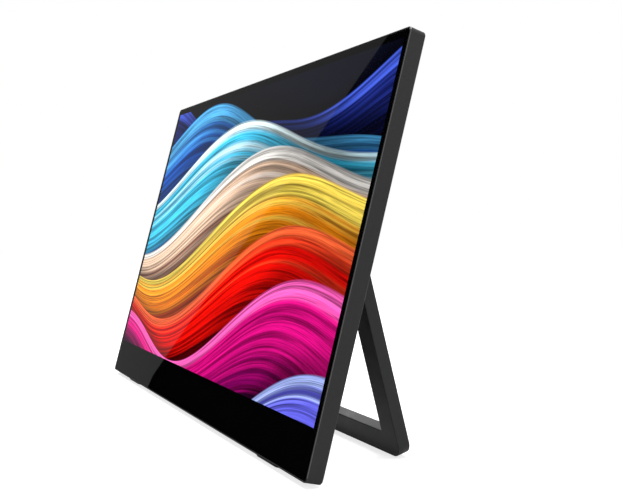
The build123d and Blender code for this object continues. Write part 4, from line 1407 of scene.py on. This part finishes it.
@dataclass
class RearHousing:
    """The anodised tray behind the glass, with its openings and the posts inside it.

    A post is a radius, how far back it reaches and the edge of its end, and a screw hole a radius
    and its two ends. Places and cable slots are in millimetres across and up, and an opening is its
    line and height, thickness, width and corner. A cut starts before a face and ends past the wall.
    """

    width: float = -2 * LEFT_FACE
    height: float = 224.0 * MM
    depth: float = 9.0 * MM
    corner: float = 3.0 * MM
    rim: float = 0.7 * MM
    ledge: float = 0.95 * MM
    wall: float = 1.8 * MM
    floor: float = 7.8 * MM
    back_edge: float = 0.7 * MM
    front_edge: float = 0.25 * MM
    recess: float = 0.1 * MM
    overlap: float = 0.3 * MM
    before: float = 1.0 * MM
    past_wall: float = 0.2 * MM
    softened: float = 0.12 * MM
    scoop_width: float = 5.3 * MM
    scoop_margin: float = 3.9 * MM
    scoop_corner: float = 2.6 * MM
    scoop_profile: tuple[Pair, ...] = (
        mm(0.95, 0.6), mm(0.55, 0.52), mm(0.25, 0.2), mm(0.0, 0.0), mm(0.0, -1.0),
    )
    sound_slot: Pair = mm(1.2, 2.4)
    sound_corner: float = 0.58 * MM
    sound_count: int = 6
    sound_pitch: float = 4.0 * MM
    sound_middle: float = 70.0 * MM
    sound_line: float = 5.25 * MM
    cable_corner: float = 1.0 * MM
    cable_ends: Pair = mm(6.8, 10.0)
    hinge_post: Place = mm(2.4, 10.835, 0.0)
    cover_post: Place = mm(2.6, 15.25, 0.2)
    board_post: Place = mm(1.9, 10.4, 0.15)
    cover_hole: Place = mm(1.0, 10.25, 16.0)
    board_hole: Place = mm(0.7, 8.2, 11.0)
    low_radius: float = 1.9 * MM
    rest_size: Pair = mm(1.4, 4.0)
    rest_corner: float = 0.2 * MM
    rest_front: float = 4.3 * MM
    rest_places: tuple[Pair, ...] = ((-170.08, 110.0), (-170.08, 170.0))
    ear_size: Pair = mm(1.8, 2.6)
    ear_corner: float = 0.1 * MM
    ear_ends: Pair = mm(4.0, 4.6)
    ear_inset: float = 2.5 * MM
    pin_hole: Place = mm(0.6, 3.9, 8.2)
    board_places: tuple[Pair, ...] = (
        (-71.8, 43.2), (-71.8, 96.8), (71.8, 43.2), (71.8, 96.8), (83.2, 70.8), (100.8, 51.2),
    )
    cover_places: tuple[Pair, ...] = (
        (-132.6, 19.8), (-45.0, 19.8), (132.6, 19.8), (45.0, 19.8),
        (-96.0, 120.0), (-45.0, 120.0), (96.0, 120.0), (45.0, 120.0),
    )
    hinge_places: tuple[Pair, ...] = ((-124.5, 104.8), (-124.5, 95.2), (124.5, 104.8), (124.5, 95.2))
    cable_slots: tuple[tuple[float, ...], ...] = (
        (-23.5, 3.5, 27.0, 33.0), (25.5, 34.5, 27.0, 33.0), (84.5, 99.5, 27.0, 33.0),
        (62.0, 68.0, 27.0, 33.0), (-68.0, -62.0, 27.0, 33.0), (-104.0, -96.0, 44.5, 61.5),
    )
    low_posts: tuple[Place, ...] = (
        (-154.18, 33.2, 6.35), (-154.18, 88.8, 6.35), (-156.18, 6.2, 2.7), (-156.18, 15.8, 2.7),
    )
    openings: tuple[tuple[float, ...], ...] = (
        (SOCKET_LINE, LOWER_SOCKET, 3.66 * MM, 9.34 * MM, 1.8 * MM),
        (SOCKET_LINE, UPPER_SOCKET, 3.66 * MM, 9.34 * MM, 1.8 * MM),
        (SOCKET_LINE, VIDEO_SOCKET, 3.6 * MM, 11.6 * MM, 1.0 * MM),
        (5.1 * MM, 12.0 * MM, 5.0 * MM, 5.0 * MM, 2.5 * MM),
        (CONTROL_LINE, POWER_HEIGHT, 2.9 * MM, POWER_OPENING, 0.95 * MM),
        (CONTROL_LINE, ROCKER_HEIGHT, 2.9 * MM, ROCKER_OPENING, 0.95 * MM),
        (CONTROL_LINE, LIGHT_HEIGHT, 1.8 * MM, 1.8 * MM, 0.9 * MM),
    )

    def tray(self) -> Array:
        """Carry the wall's profile round the outline, from the cavity's floor out to the back face.

        Returns:
            A grid in the row frame.
        """
        front = arc((self.front_edge, self.front_edge), self.front_edge, 270, 180, 3)
        back = arc((self.back_edge, self.depth - self.back_edge), self.back_edge, 180, 90, 6)
        inner = [(self.wall, self.floor), (self.wall, self.ledge), (self.rim, self.ledge)]
        inner += [(self.rim, self.recess), (self.rim - self.recess, 0.0)]
        size = (self.width, self.height)
        return carried_wall(size, self.corner, self.height / 2, (inner, front, back))

    def side_tools(self) -> list[Array]:
        """Openings for the sockets, the jack, the keys and the light in the left wall.

        Returns:
            One grid for each opening.
        """
        span = (-self.before, self.wall + self.past_wall)
        tools = [
            slab((thickness, width), corner, span, (LEFT_FACE, line, height), Axes.TO_RIGHT)
            for line, height, thickness, width, corner in self.openings
        ]
        return PANEL.place_all(tools)

    def scoop_tools(self) -> list[Array]:
        """Shallow hollows round the keys, with sloping sides.

        Returns:
            One grid for each key.
        """
        tools = []
        for height, length in ((POWER_HEIGHT, POWER_OPENING), (ROCKER_HEIGHT, ROCKER_OPENING)):
            size = (self.scoop_width, length + self.scoop_margin)
            grid = carried_profile(size, self.scoop_corner, np.array(self.scoop_profile))
            tools.append(oriented(grid, Axes.TO_RIGHT, (LEFT_FACE, CONTROL_LINE, height)))
        return PANEL.place_all(tools)

    def bottom_tools(self) -> list[Array]:
        """Sound slots and the seats of the feet in the bottom wall.

        Returns:
            One grid for each slot and seat.
        """
        size, corner, span = self.sound_slot, self.sound_corner, (-self.before, self.wall + self.past_wall)
        tools = []
        for side in Side:
            for step in stepped(self.sound_count, self.sound_pitch):
                centre = (side.value * self.sound_middle + step, self.sound_line, 0.0)
                tools.append(PANEL.place(slab(size, corner, span, centre, Axes.UPWARDS, steps=4)))
            tools.append(RubberFeet().pad(side, self.before, 0.0, 6))
        return tools

    def back_tools(self) -> list[Array]:
        """Cable slots through the back wall and the screw holes down the posts.

        Returns:
            One grid for each slot and hole.
        """
        tools = []
        for left, right, low, high in self.cable_slots:
            size = ((right - left) * MM, (high - low) * MM)
            middle = spot((left + right) / 2, (low + high) / 2)
            tools.append(slab(size, self.cable_corner, self.cable_ends, middle, steps=4))
        for hole, places in ((self.board_hole, self.board_places), (self.cover_hole, self.cover_places)):
            tools += [rod(hole[0], hole[1:], spot(*place)) for place in places]
        return PANEL.place_all(tools)

    def posts(self) -> list[Array]:
        """Posts that carry the boards, the hinges and the cover, and the ears of the rocker's pin.

        Returns:
            One grid for each post, with the ears last.
        """
        back, inner = self.depth - self.overlap, self.floor + self.overlap
        kinds = (
            (self.board_post, self.board_places),
            (self.cover_post, self.cover_places),
            (self.hinge_post, self.hinge_places),
        )
        posts = [
            rod(radius, (back, reach), spot(*place), edges=(0.0, edge))
            for (radius, reach, edge), places in kinds
            for place in places
        ]
        posts += [rod(self.low_radius, (start * MM, inner), spot(x, z)) for x, z, start in self.low_posts]
        rest_ends = (self.rest_front, inner)
        for place in self.rest_places:
            posts.append(slab(self.rest_size, self.rest_corner, rest_ends, spot(*place), steps=3))
        ear_middle = (LEFT_FACE + self.ear_inset, 0.0, ROCKER_HEIGHT)
        posts.append(slab(self.ear_size, self.ear_corner, self.ear_ends, ear_middle, steps=3))
        return PANEL.place_all(posts)

    def build(self) -> None:
        """Build the tray, work in its posts and openings, and put it on the monitor."""
        shell = skin("housing_shell", [self.tray()])
        work_in(shell, self.posts(), Joining.ADD)
        work_in(shell, self.scoop_tools())
        work_in(shell, self.side_tools() + self.bottom_tools() + self.back_tools())
        work_in(shell, [PANEL.place(rod(self.pin_hole[0], self.pin_hole[1:], ROCKER_PIVOT))])
        soften(shell, self.softened)
        hand_over(shell, Body.MONITOR, "housing_metal", ("rear_housing",))


@dataclass
class RearCover:
    """The moulded cover over the boards, with its vents, and the screws that hold it.

    A screw's shank, head and socket are places of radius and rise in millimetres. The lobes are how
    far its socket swells, as a share of its radius.
    """

    half_width: float = 137.6 * MM
    bottom: float = 14.8 * MM
    top: float = 125.0 * MM
    front: float = 9.0 * MM
    back: float = 16.65 * MM
    wall: float = 1.4 * MM
    corner: float = 3.0 * MM
    edge: float = 1.2 * MM
    seat: float = 15.75 * MM
    past_wall: float = 0.3 * MM
    before: float = 1.0 * MM
    softened: float = 0.15 * MM
    vent_size: Pair = mm(1.4, 9.0)
    vent_corner: float = 0.69 * MM
    vent_count: int = 14
    vent_pitch: float = 5.0 * MM
    vent_height: float = 112.0 * MM
    counterbore: float = 1.9 * MM
    ledge: float = 0.8 * MM
    pin_slot: Pair = mm(9.775, 3.6)
    pin_corner: float = 1.78 * MM
    pin_middle: Place = mm(0.0, 9.8875, 114.4)
    pin_inset: float = 3.0 * MM
    shank: tuple[Pair, ...] = ((0.05, -6.3), (0.6, -6.3), (0.95, -5.8), (0.95, -0.02), (1.1, 0.0))
    head: tuple[Pair, ...] = (
        (1.62, 0.0), (1.78, 0.12), (1.8, 0.3), (1.66, 0.55), (1.3, 0.72), (0.92, 0.79), (0.78, 0.79),
    )
    socket: tuple[Pair, ...] = ((0.72, 0.74), (0.7, 0.2), (0.05, 0.1))
    lobes: float = 0.14
    screw_places: tuple[Pair, ...] = RearHousing.cover_places

    def box(self) -> Array:
        """Carry the wall's profile round the outline, from the inside of the back out to its face.

        Returns:
            A grid in the row frame.
        """
        back = arc((self.edge, self.back - self.edge), self.edge, 180, 90, 6)
        inner = [(self.wall, self.back - self.wall), (self.wall, self.front), (0.0, self.front)]
        size = (2 * self.half_width, self.top - self.bottom)
        return carried_wall(size, self.corner, (self.top + self.bottom) / 2, (inner, back))

    def tools(self) -> list[Array]:
        """Vents, counterbores, screw holes and the slots for the hinge pins.

        Returns:
            One grid for each vent, bore and slot.
        """
        inside, outside = self.back - self.wall - self.past_wall, self.back + self.before
        tools = [
            slab(self.vent_size, self.vent_corner, (inside, outside), (step, 0.0, self.vent_height), steps=4)
            for step in stepped(self.vent_count, self.vent_pitch)
        ]
        size, seat = (2 * self.counterbore, 2 * self.counterbore), self.seat
        steps = np.array([[0.0, outside], [0.0, seat], [self.ledge, seat], [self.ledge, inside]])
        bore = carried_profile(size, self.counterbore, steps, 7)
        tools += [oriented(bore, Axes.TO_BACK, spot(*place)) for place in self.screw_places]
        start, end = self.half_width - self.pin_inset, self.half_width + self.before
        for side in Side:
            reach = spread_out(side.value * start, side.value * end)
            slot = slab(self.pin_slot, self.pin_corner, reach, self.pin_middle, Axes.TO_RIGHT, steps=8)
            tools.append(slot)
        return PANEL.place_all(tools)

    def screws(self) -> list[Array]:
        """The pan-headed screws with their six-lobed sockets.

        A head is a profile of radius and rise turned about the screw's axis, and in the socket the
        radius swells by a share of the cosine of six times the angle.

        Returns:
            One grid for each screw, in the row frame.
        """
        smooth = [0.0] * len(self.shank + self.head)
        ripple = np.array([*smooth, self.lobes, self.lobes, 0.0])
        screw = turned(np.array(self.shank + self.head + self.socket) * MM, ripple, 36)
        seats = [(x * MM, self.seat, z * MM) for x, z in self.screw_places]
        return PANEL.place_all([oriented(screw, Axes.TO_BACK, seat) for seat in seats])

    def build(self) -> None:
        """Build the cover and its screws and put them on the monitor."""
        cover = skin("back_cover", [self.box()])
        work_in(cover, self.tools())
        soften(cover, self.softened)
        hand_over(cover, Body.MONITOR, "cover_plastic", ("rear_cover",))
        hand_over(skin("cover_screw_set", self.screws()), Body.MONITOR, "black_steel", ("cover_screws",))


@dataclass
class FoldOutStand:
    """The U-shaped frame and its rubber strip; places are from the hinge axis, in the stand frame."""

    half_width: float = 152.5 * MM
    leg_width: float = 14.3 * MM
    radius: float = 3.675 * MM
    leg_length: float = 113.0327 * MM
    bar_height: float = 12.8 * MM
    corner: float = 7.0 * MM
    window_corner: float = 1.0 * MM
    edge: float = 0.5 * MM
    pin_bore: float = 1.5 * MM
    pin_reach: float = 11.3 * MM
    strip_size: Pair = mm(287.0, 5.0)
    strip_corner: float = 2.4 * MM
    strip_edge: float = 0.25 * MM
    strip_span: Pair = mm(-0.8, 1.0)
    before: float = 1.0 * MM
    softened: float = 0.06 * MM
    crease_angle: float = 50.0

    def section(self) -> Array:
        """Round the edges of the leg's rectangle.

        In an edge of radius e, at an angle t, the inset is e(1 - cos t), and the depth is less than
        the half thickness by e(1 - sin t).

        Returns:
            Side flag, inset from that side and signed depth, one row for each point.
        """
        angle = np.linspace(0, pi / 2, 5)
        inset = self.edge * (1 - np.cos(angle))
        depth = self.radius - self.edge * (1 - np.sin(angle))
        outer = np.stack([np.ones(len(angle)), inset, depth], axis=-1)
        back = np.concatenate([outer, outer[::-1] * np.array([0.0, 1.0, 1.0])])
        return np.concatenate([back, back[::-1] * np.array([1.0, 1.0, -1.0])])

    def stations(self) -> tuple[Array, Array, Array, Array]:
        """Follow the U from the left leg's rounded top to the right one's.

        Returns:
            Centres of the outer and the inner corner circle, the way outwards, and the angle up
            the rounded top, one row for each station.
        """
        fan = np.linspace(pi / 2, 0, 12)
        fall = np.linspace(0, 1, 4)[1:-1]
        turn = np.linspace(0, pi / 2, 9)
        top = np.concatenate([fan, np.zeros(len(fall) + len(turn))])
        down = np.concatenate([np.zeros(len(fan)), fall, np.ones(len(turn))])
        quarter = np.stack([np.cos(turn), -np.sin(turn)], axis=-1)
        way = np.concatenate([np.tile([1.0, 0.0], (len(fan) + len(fall), 1)), quarter])
        outer, inner = (
            np.stack([np.full(len(down), x), down * z], axis=-1)
            for x, z in (
                (self.half_width - self.corner, self.corner - self.leg_length),
                (
                    self.half_width - self.leg_width - self.window_corner,
                    self.bar_height + self.window_corner - self.leg_length,
                ),
            )
        )
        flip = np.array([-1.0, 1.0])
        outer, inner, way = (np.concatenate([row * flip, row[::-1]]) for row in (outer, inner, way))
        return outer, inner, way, np.concatenate([top, top[::-1]])

    def surface(self) -> Array:
        """Carry the section along the U.

        An outer point is the outer circle's centre plus (corner - inset) along the way outwards,
        and an inner one the window circle's centre plus (window corner + inset). Round the top, at
        an angle a, a depth d goes to d cos a and rises by |d| sin a.

        Returns:
            A grid of stations by section points by three, in the row frame.
        """
        outer, inner, way, top = self.stations()
        side, inset, depth = self.section().T
        radius = np.where(side > 0.5, self.corner - inset, self.window_corner + inset)
        centre = np.where(side[None, :, None] > 0.5, outer[:, None, :], inner[:, None, :])
        flat = centre + radius[None, :, None] * way[:, None, :]
        across = depth[None, :] * np.cos(top)[:, None]
        rise = np.abs(depth)[None, :] * np.sin(top)[:, None]
        return STAND.place(np.stack([flat[..., 0], across, flat[..., 1] + rise], axis=-1))

    def strip(self) -> Array:
        """The rubber strip along the bar, flattened where it meets the table.

        Returns:
            A grid in the row frame.
        """
        span = (self.strip_span[0] - self.leg_length, self.strip_span[1] - self.leg_length)
        edges = (self.strip_edge, 0.0)
        grid = slab(self.strip_size, self.strip_corner, span, axes=Axes.UPWARDS, edges=edges, steps=8)
        return on_table(STAND.place(grid))

    def pin_tools(self) -> list[Array]:
        """Blind bores for the hinge pins in the inner faces of the legs.

        Returns:
            One grid for each bore.
        """
        inner = self.half_width - self.leg_width
        ends = (inner - self.before, inner + self.pin_reach)
        spans = [spread_out(side.value * ends[0], side.value * ends[1]) for side in Side]
        return STAND.place_all([rod(self.pin_bore, span, spot(0, 0), Axes.TO_RIGHT) for span in spans])

    def build(self) -> None:
        """Build the frame and its strip and put them on the stand."""
        leg_frame = skin("leg_frame", [self.surface()], capped=False)
        work_in(leg_frame, [self.strip(), *self.pin_tools()])
        soften(leg_frame, self.softened, self.crease_angle)
        hand_over(leg_frame, Body.STAND, "stand_metal", ("stand_frame",))
        strip = skin("rubber_strip", [self.strip()])
        keep_flat(strip)
        hand_over(strip, Body.STAND, "rubber", ("stand_strip",))


@dataclass
class EdgeControls:
    """Power button, menu rocker and status light in the left edge.

    A cap is its length, how far inside its back lies, its dish across and its sag along.
    """

    width: float = 2.4 * MM
    corner: float = 0.7 * MM
    inside: float = 0.1 * MM
    rim: float = 0.3 * MM
    innermost: float = 0.08
    dished_share: float = 0.86
    inset_limit: float = 0.94
    power_cap: tuple[float, ...] = mm(12.0, 2.2, 0.12, 0.0)
    rocker_cap: tuple[float, ...] = mm(18.0, 3.0, 0.06, 0.22)
    flange_size: Pair = mm(2.3, 14.0)
    flange_ends: Pair = mm(1.95, 2.65)
    flange_edges: Pair = mm(0.1, 0.1)
    plunger: float = 0.7 * MM
    power_plunger: Pair = mm(2.5, 3.2)
    rocker_plunger: Pair = mm(2.85, 3.2)
    plunger_offset: float = 6.0 * MM
    pin_bore: float = 0.64 * MM
    pin_ends: Pair = mm(3.0, 9.0)
    light: float = 0.8 * MM
    light_ends: Pair = mm(0.05, 4.6)

    def cap(self, height: float, length: float, back: float, dish: float, sag: float) -> Array:
        """A key's cap whose face is dished across and sags or swells along.

        The face goes in by dish times (1 - r squared), r being the share of the way from the middle
        to the rim, and the whole face by sag times (1 - s squared) along its length.

        Args:
            height: Its middle, up the panel.
            length: Its length up the panel.
            back: How far its back lies inside the outer face.
            dish: Depth of the dish across.
            sag: Depth of the sag along.

        Returns:
            A grid in the panel frame.
        """
        half = self.width / 2
        share = np.linspace(self.innermost, 1.0, 5)[:-1]
        insets = half * self.dished_share * (1 - share) + self.rim
        face = np.stack([insets, self.inside + dish * (1 - share**2)], axis=-1)
        rim = arc((self.rim, self.inside + self.rim), self.rim, 270, 180, 3)
        profile = np.concatenate([face, rim, np.array([[0.0, back]])])
        profile[:, 0] = np.minimum(profile[:, 0], half * self.inset_limit)
        grid = carried_profile((self.width, length), self.corner, profile, 6)
        along = 2 * grid[:-1, :, 1] / length
        grid[:-1, :, 2] += sag * (1 - along**2)
        return oriented(grid, Axes.TO_RIGHT, (LEFT_FACE, CONTROL_LINE, height))

    def stub(self, radius: float, span: Pair, height: float, edge: float = 0.0) -> Array:
        """A round bar that runs inwards from the edge on the line of the controls."""
        return rod(radius, span, (LEFT_FACE, CONTROL_LINE, height), Axes.TO_RIGHT, (edge, 0.0))

    def build(self) -> None:
        """Build the power button, the rocker and the light's end and put them on their bodies."""
        middle, edges = (LEFT_FACE, CONTROL_LINE, POWER_HEIGHT), self.flange_edges
        power_parts = [
            self.cap(POWER_HEIGHT, *self.power_cap),
            slab(self.flange_size, self.corner, self.flange_ends, middle, Axes.TO_RIGHT, edges, 5),
            self.stub(self.plunger, self.power_plunger, POWER_HEIGHT),
        ]
        self.finish("power_key", power_parts, Body.POWER, "power_button")
        rocker_parts = [self.cap(ROCKER_HEIGHT, *self.rocker_cap)]
        for side in Side:
            end = ROCKER_HEIGHT + side.value * self.plunger_offset
            rocker_parts.append(self.stub(self.plunger, self.rocker_plunger, end))
        bore = rod(self.pin_bore, self.pin_ends, ROCKER_PIVOT)
        self.finish("menu_key", rocker_parts, Body.ROCKER, "menu_rocker", [bore])
        pipe = self.stub(self.light, self.light_ends, LIGHT_HEIGHT, self.light / 2)
        light = skin("light_window", PANEL.place_all([pipe]))
        hand_over(light, Body.MONITOR, "clear_plastic", ("light_pipe",))

    def finish(
        self, name: str, parts: Sequence[Array], body: Body, node: str, bores: Sequence[Array] = ()
    ) -> None:
        """Join a key's parts and put it on its body.

        Args:
            name: The piece's name.
            parts: Grids in the panel frame.
            body: The body that it rides on.
            node: The node that it stands for.
            bores: Holes through it, in the panel frame.
        """
        placed = PANEL.place_all(parts)
        key = skin(name, placed[:1])
        work_in(key, placed[1:], Joining.ADD)
        if bores:
            work_in(key, PANEL.place_all(bores))
        shade(key)
        hand_over(key, body, "button_plastic", (node,))


@dataclass
class SocketContacts:
    """Gilded contacts on the tongues of the sockets: height, pitch, count and half thickness."""

    rows: tuple[tuple[float, float, int, float], ...] = (
        (LOWER_SOCKET, 0.5 * MM, 12, 0.36 * MM),
        (UPPER_SOCKET, 0.5 * MM, 12, 0.36 * MM),
        (VIDEO_SOCKET, 0.4 * MM, 19, 0.41 * MM),
    )
    thickness: float = 0.05 * MM
    width_share: float = 0.56
    corner: float = 0.01 * MM
    ends: Pair = mm(1.62, 5.6)
    gilding: PlatedMetal = PlatedMetal("gilded_contacts", (0.78, 0.53, 0.2, 1.0), 0.2)

    def strips(self) -> list[Array]:
        """Flat contacts on both faces of each tongue, a row across its width.

        Returns:
            One grid for each contact.
        """
        grids = []
        for height, pitch, count, half in self.rows:
            size = (self.thickness, self.width_share * pitch)
            for step in stepped(count, pitch):
                for face in (-half, half):
                    centre = (LEFT_FACE, SOCKET_LINE + face, height + step)
                    grids.append(slab(size, self.corner, self.ends, centre, Axes.TO_RIGHT, steps=1))
        return PANEL.place_all(grids)

    def build(self) -> None:
        """Build the contacts and put them on the monitor."""
        contacts = skin("socket_contacts", self.strips())
        hand_over(contacts, Body.MONITOR, "socket_metal", finish=self.gilding.build())


@dataclass
class Interior:
    """The nodes of the frame that stay as they are and get their finishes."""

    def build(self) -> None:
        """Give every node the material of its slot in the frame's record."""
        for row in frame["record"]["subparts"]:
            paint(frame["nodes"][row["node"]], MATERIALS[row["material_slot"]])
            log.info("%s takes %s", row["node"], row["material_slot"])


@dataclass(frozen=True)
class Lamp:
    """A square soft lamp: where it hangs, what it points at, its side and its power in watts."""

    name: str
    place: Place
    aim: Place
    side: float
    power: float

    def build(self) -> None:
        """Hang the lamp."""
        data = bpy.data.lights.new(self.name, "AREA")
        data.size = self.side
        data.energy = self.power
        lamp = link(self.name, data)
        lamp.location = self.place
        lamp.rotation_euler = (Vector(self.aim) - Vector(self.place)).to_track_quat("-Z", "Y").to_euler()


@dataclass(frozen=True)
class Card:
    """A card that only glossy rays meet, folded from flat sheets; white would glow at level 1."""

    name: str
    sheets: tuple[tuple[Place, ...], ...]
    level: float

    def build(self) -> None:
        """Stand the card up."""
        corners = [corner for part in self.sheets for corner in part]
        first = len(self.sheets[0])
        card = sheet(self.name, corners, [list(range(first)), list(range(first, len(corners)))])
        material, graph, shader = open_material(self.name)
        graph.fill(
            shader, Base_Color=grey(0.0), Specular_IOR_Level=0.0, Emission_Color=grey(1.0),
            Emission_Strength=self.level,
        )
        paint(card, material)
        for kind in ("camera", "diffuse", "shadow", "transmission", "volume_scatter"):
            setattr(card, "visible_" + kind, False)


@dataclass
class Studio:
    """Camera, floor, surroundings, lamps and the cards that the glass reflects."""

    camera_place: Place = (0.5307, -0.2140, 0.1240)
    camera_turn: Place = (88.293, 0.066, 63.091)
    lens: float = 50.01
    sensor: float = 36.0
    shift: Pair = (-0.0002, -0.0028)
    clip: Pair = (0.01, 50.0)
    surroundings: Pair = (0.4, 1.0)
    floor_half: float = 3.0
    floor_greys: Pair = (0.6, 0.64)
    floor_clouds: Pair = (6.0, 3.0)
    floor_roughness: float = 0.9
    seen_glow: float = 0.75
    fade: Pair = (0.4, 1.8)
    fade_glow: Pair = (0.25, 0.75)
    shade: Pair = (0.0, 0.04)
    shade_glow: Pair = (-0.35, 0.0)
    footprint_half: Pair = (0.15, 0.01)
    footprint_middle: float = -0.024
    card_x: float = -1.5
    card_top: float = 1.45
    card_lift: float = 0.6 * MM
    card_ends: Pair = (-1.35, -0.2)
    card_edge: tuple[Pair, Pair] = ((-0.6653, 1.0981), (-0.5254, -0.0248))
    card_foot: Pair = (-0.082, -0.0375)
    card_reach: Pair = (0.19, -0.3)
    card_level: float = 0.14
    lamps: tuple[Lamp, ...] = (
        Lamp("lamp_above", (0.1, 0.0, 1.3), (0.0, 0.0, 0.1), 1.0, 26.0),
        Lamp("lamp_right", (1.3, 0.5, 0.7), (0.1, 0.0, 0.1), 1.0, 3.0),
        Lamp("lamp_behind", (-1.2, 0.55, 0.7), (0.1, 0.03, 0.0), 0.8, 2.6),
    )

    def build(self) -> None:
        """Build the whole studio."""
        self.build_camera()
        self.build_world()
        self.build_floor()
        for piece in (*self.cards(), *self.lamps):
            piece.build()
        bpy.context.scene.view_settings.view_transform = "Standard"

    def build_camera(self) -> None:
        """Stand the camera where the photograph was taken from."""
        data = bpy.data.cameras.new("camera")
        camera = link("camera", data)
        camera.location = self.camera_place
        camera.rotation_euler = tuple(radians(angle) for angle in self.camera_turn)
        data.lens = self.lens
        data.sensor_width = self.sensor
        data.shift_x, data.shift_y = self.shift
        data.clip_start, data.clip_end = self.clip
        bpy.context.scene.camera = camera

    def build_world(self) -> None:
        """Even white surroundings, seen as pure white."""
        world = bpy.data.worlds.new("surroundings")
        world.use_nodes = True
        bpy.context.scene.world = world
        graph = Graph(world.node_tree)
        background = next(node for node in world.node_tree.nodes if node.type == "BACKGROUND")
        seen = graph.math("MAXIMUM", *self.rays(graph))
        graph.fill(background, Color=grey(1.0), Strength=graph.spread(seen, UNIT, self.surroundings))

    def rays(self, graph: Graph) -> tuple[Socket, Socket]:
        """Whether a ray comes from the camera, and whether from a gloss or a clear piece."""
        ray = graph.node("LightPath").outputs
        return ray["Is Camera Ray"], graph.math("MAXIMUM", ray["Is Glossy Ray"], ray["Is Transmission Ray"])

    def build_floor(self) -> None:
        """A pale floor, white to the camera, that keeps the object's shadow."""
        half = self.floor_half
        corners = [(-half, -half, 0), (half, -half, 0), (half, half, 0), (-half, half, 0)]
        floor = sheet("floor", corners, [[0, 1, 2, 3]])
        material, graph, shader = open_material("pale_floor")
        vector = graph.place()
        dark, pale = (grey(level) for level in self.floor_greys)
        graph.fill(
            shader,
            Base_Color=graph.mix(graph.noise(vector, *self.floor_clouds), dark, pale),
            Roughness=self.floor_roughness,
            Specular_IOR_Level=0.0,
            Emission_Color=grey(1.0),
            Emission_Strength=self.floor_glow(graph, vector),
        )
        paint(floor, material)

    def floor_glow(self, graph: Graph, vector: Socket) -> Socket:
        """How much whiter the floor is shown than the lamps make it.

        To the camera it is even. To glosses and clear pieces it grows with the distance from the
        object, as the lamps fade, and it dies away under the object, where the floor lies in shade.

        Args:
            graph: The floor's graph.
            vector: A place on the floor.

        Returns:
            The glow's socket.
        """
        x, y, _ = graph.split(vector)
        along, across = graph.away(x), graph.away(y, self.footprint_middle)
        distance = graph.outside(along, across, self.footprint_half)
        open_floor = graph.spread(distance, self.fade, self.fade_glow, ease=True)
        shaded = graph.spread(distance, self.shade, self.shade_glow, ease=True)
        camera, gloss = self.rays(graph)
        mirrored = graph.times(gloss, graph.math("ADD", open_floor, shaded))
        return graph.math("MULTIPLY_ADD", camera, self.seen_glow, graph.math("MAXIMUM", mirrored, 0.0))

    def cards(self) -> tuple[Card, Card]:
        """A grey card and a black flag side by side, each folded from the wall onto the table.

        Their common edge is the line on the plane of the cards whose mirror image in the glass
        runs from the top right corner of the picture to the lower left of the glass.

        Returns:
            The grey card and the black flag.
        """
        high, low = self.card_edge
        slope = (high[0] - low[0]) / (high[1] - low[1])
        high_y, table_y = (low[0] + slope * (z - low[1]) for z in (self.card_top, 0.0))
        wall, top, lift = self.card_x, self.card_top, self.card_lift
        (far, near), (black_x, grey_x), foot_y = self.card_ends, self.card_reach, self.card_foot[1]
        meet, foot = (wall, table_y, lift), (*self.card_foot, lift)
        grey_wall = ((wall, high_y, top), (wall, near, top), (wall, near, lift), meet)
        black_wall = ((wall, far, top), (wall, high_y, top), meet, (wall, far, lift))
        grey_table = (meet, (wall, foot_y, lift), (grey_x, foot_y, lift), foot)
        black_table = (meet, foot, (black_x, foot_y, lift), (black_x, far, lift), (wall, far, lift))
        return (
            Card("grey_card", (grey_wall, grey_table), self.card_level),
            Card("black_flag", (black_wall, black_table), 0.0),
        )


def main() -> None:
    """Build the studio and every sub-assembly in order."""
    logging.basicConfig(level=logging.INFO, format="%(name)s: %(message)s")
    for assembly in (
        Studio(), Interior(), DisplayGlass(), RearHousing(), RearCover(), FoldOutStand(), RubberFeet(),
        EdgeControls(), SocketContacts(),
    ):
        log.info("building %s", type(assembly).__name__)
        assembly.build()


if __name__ == "__main__":
    main()
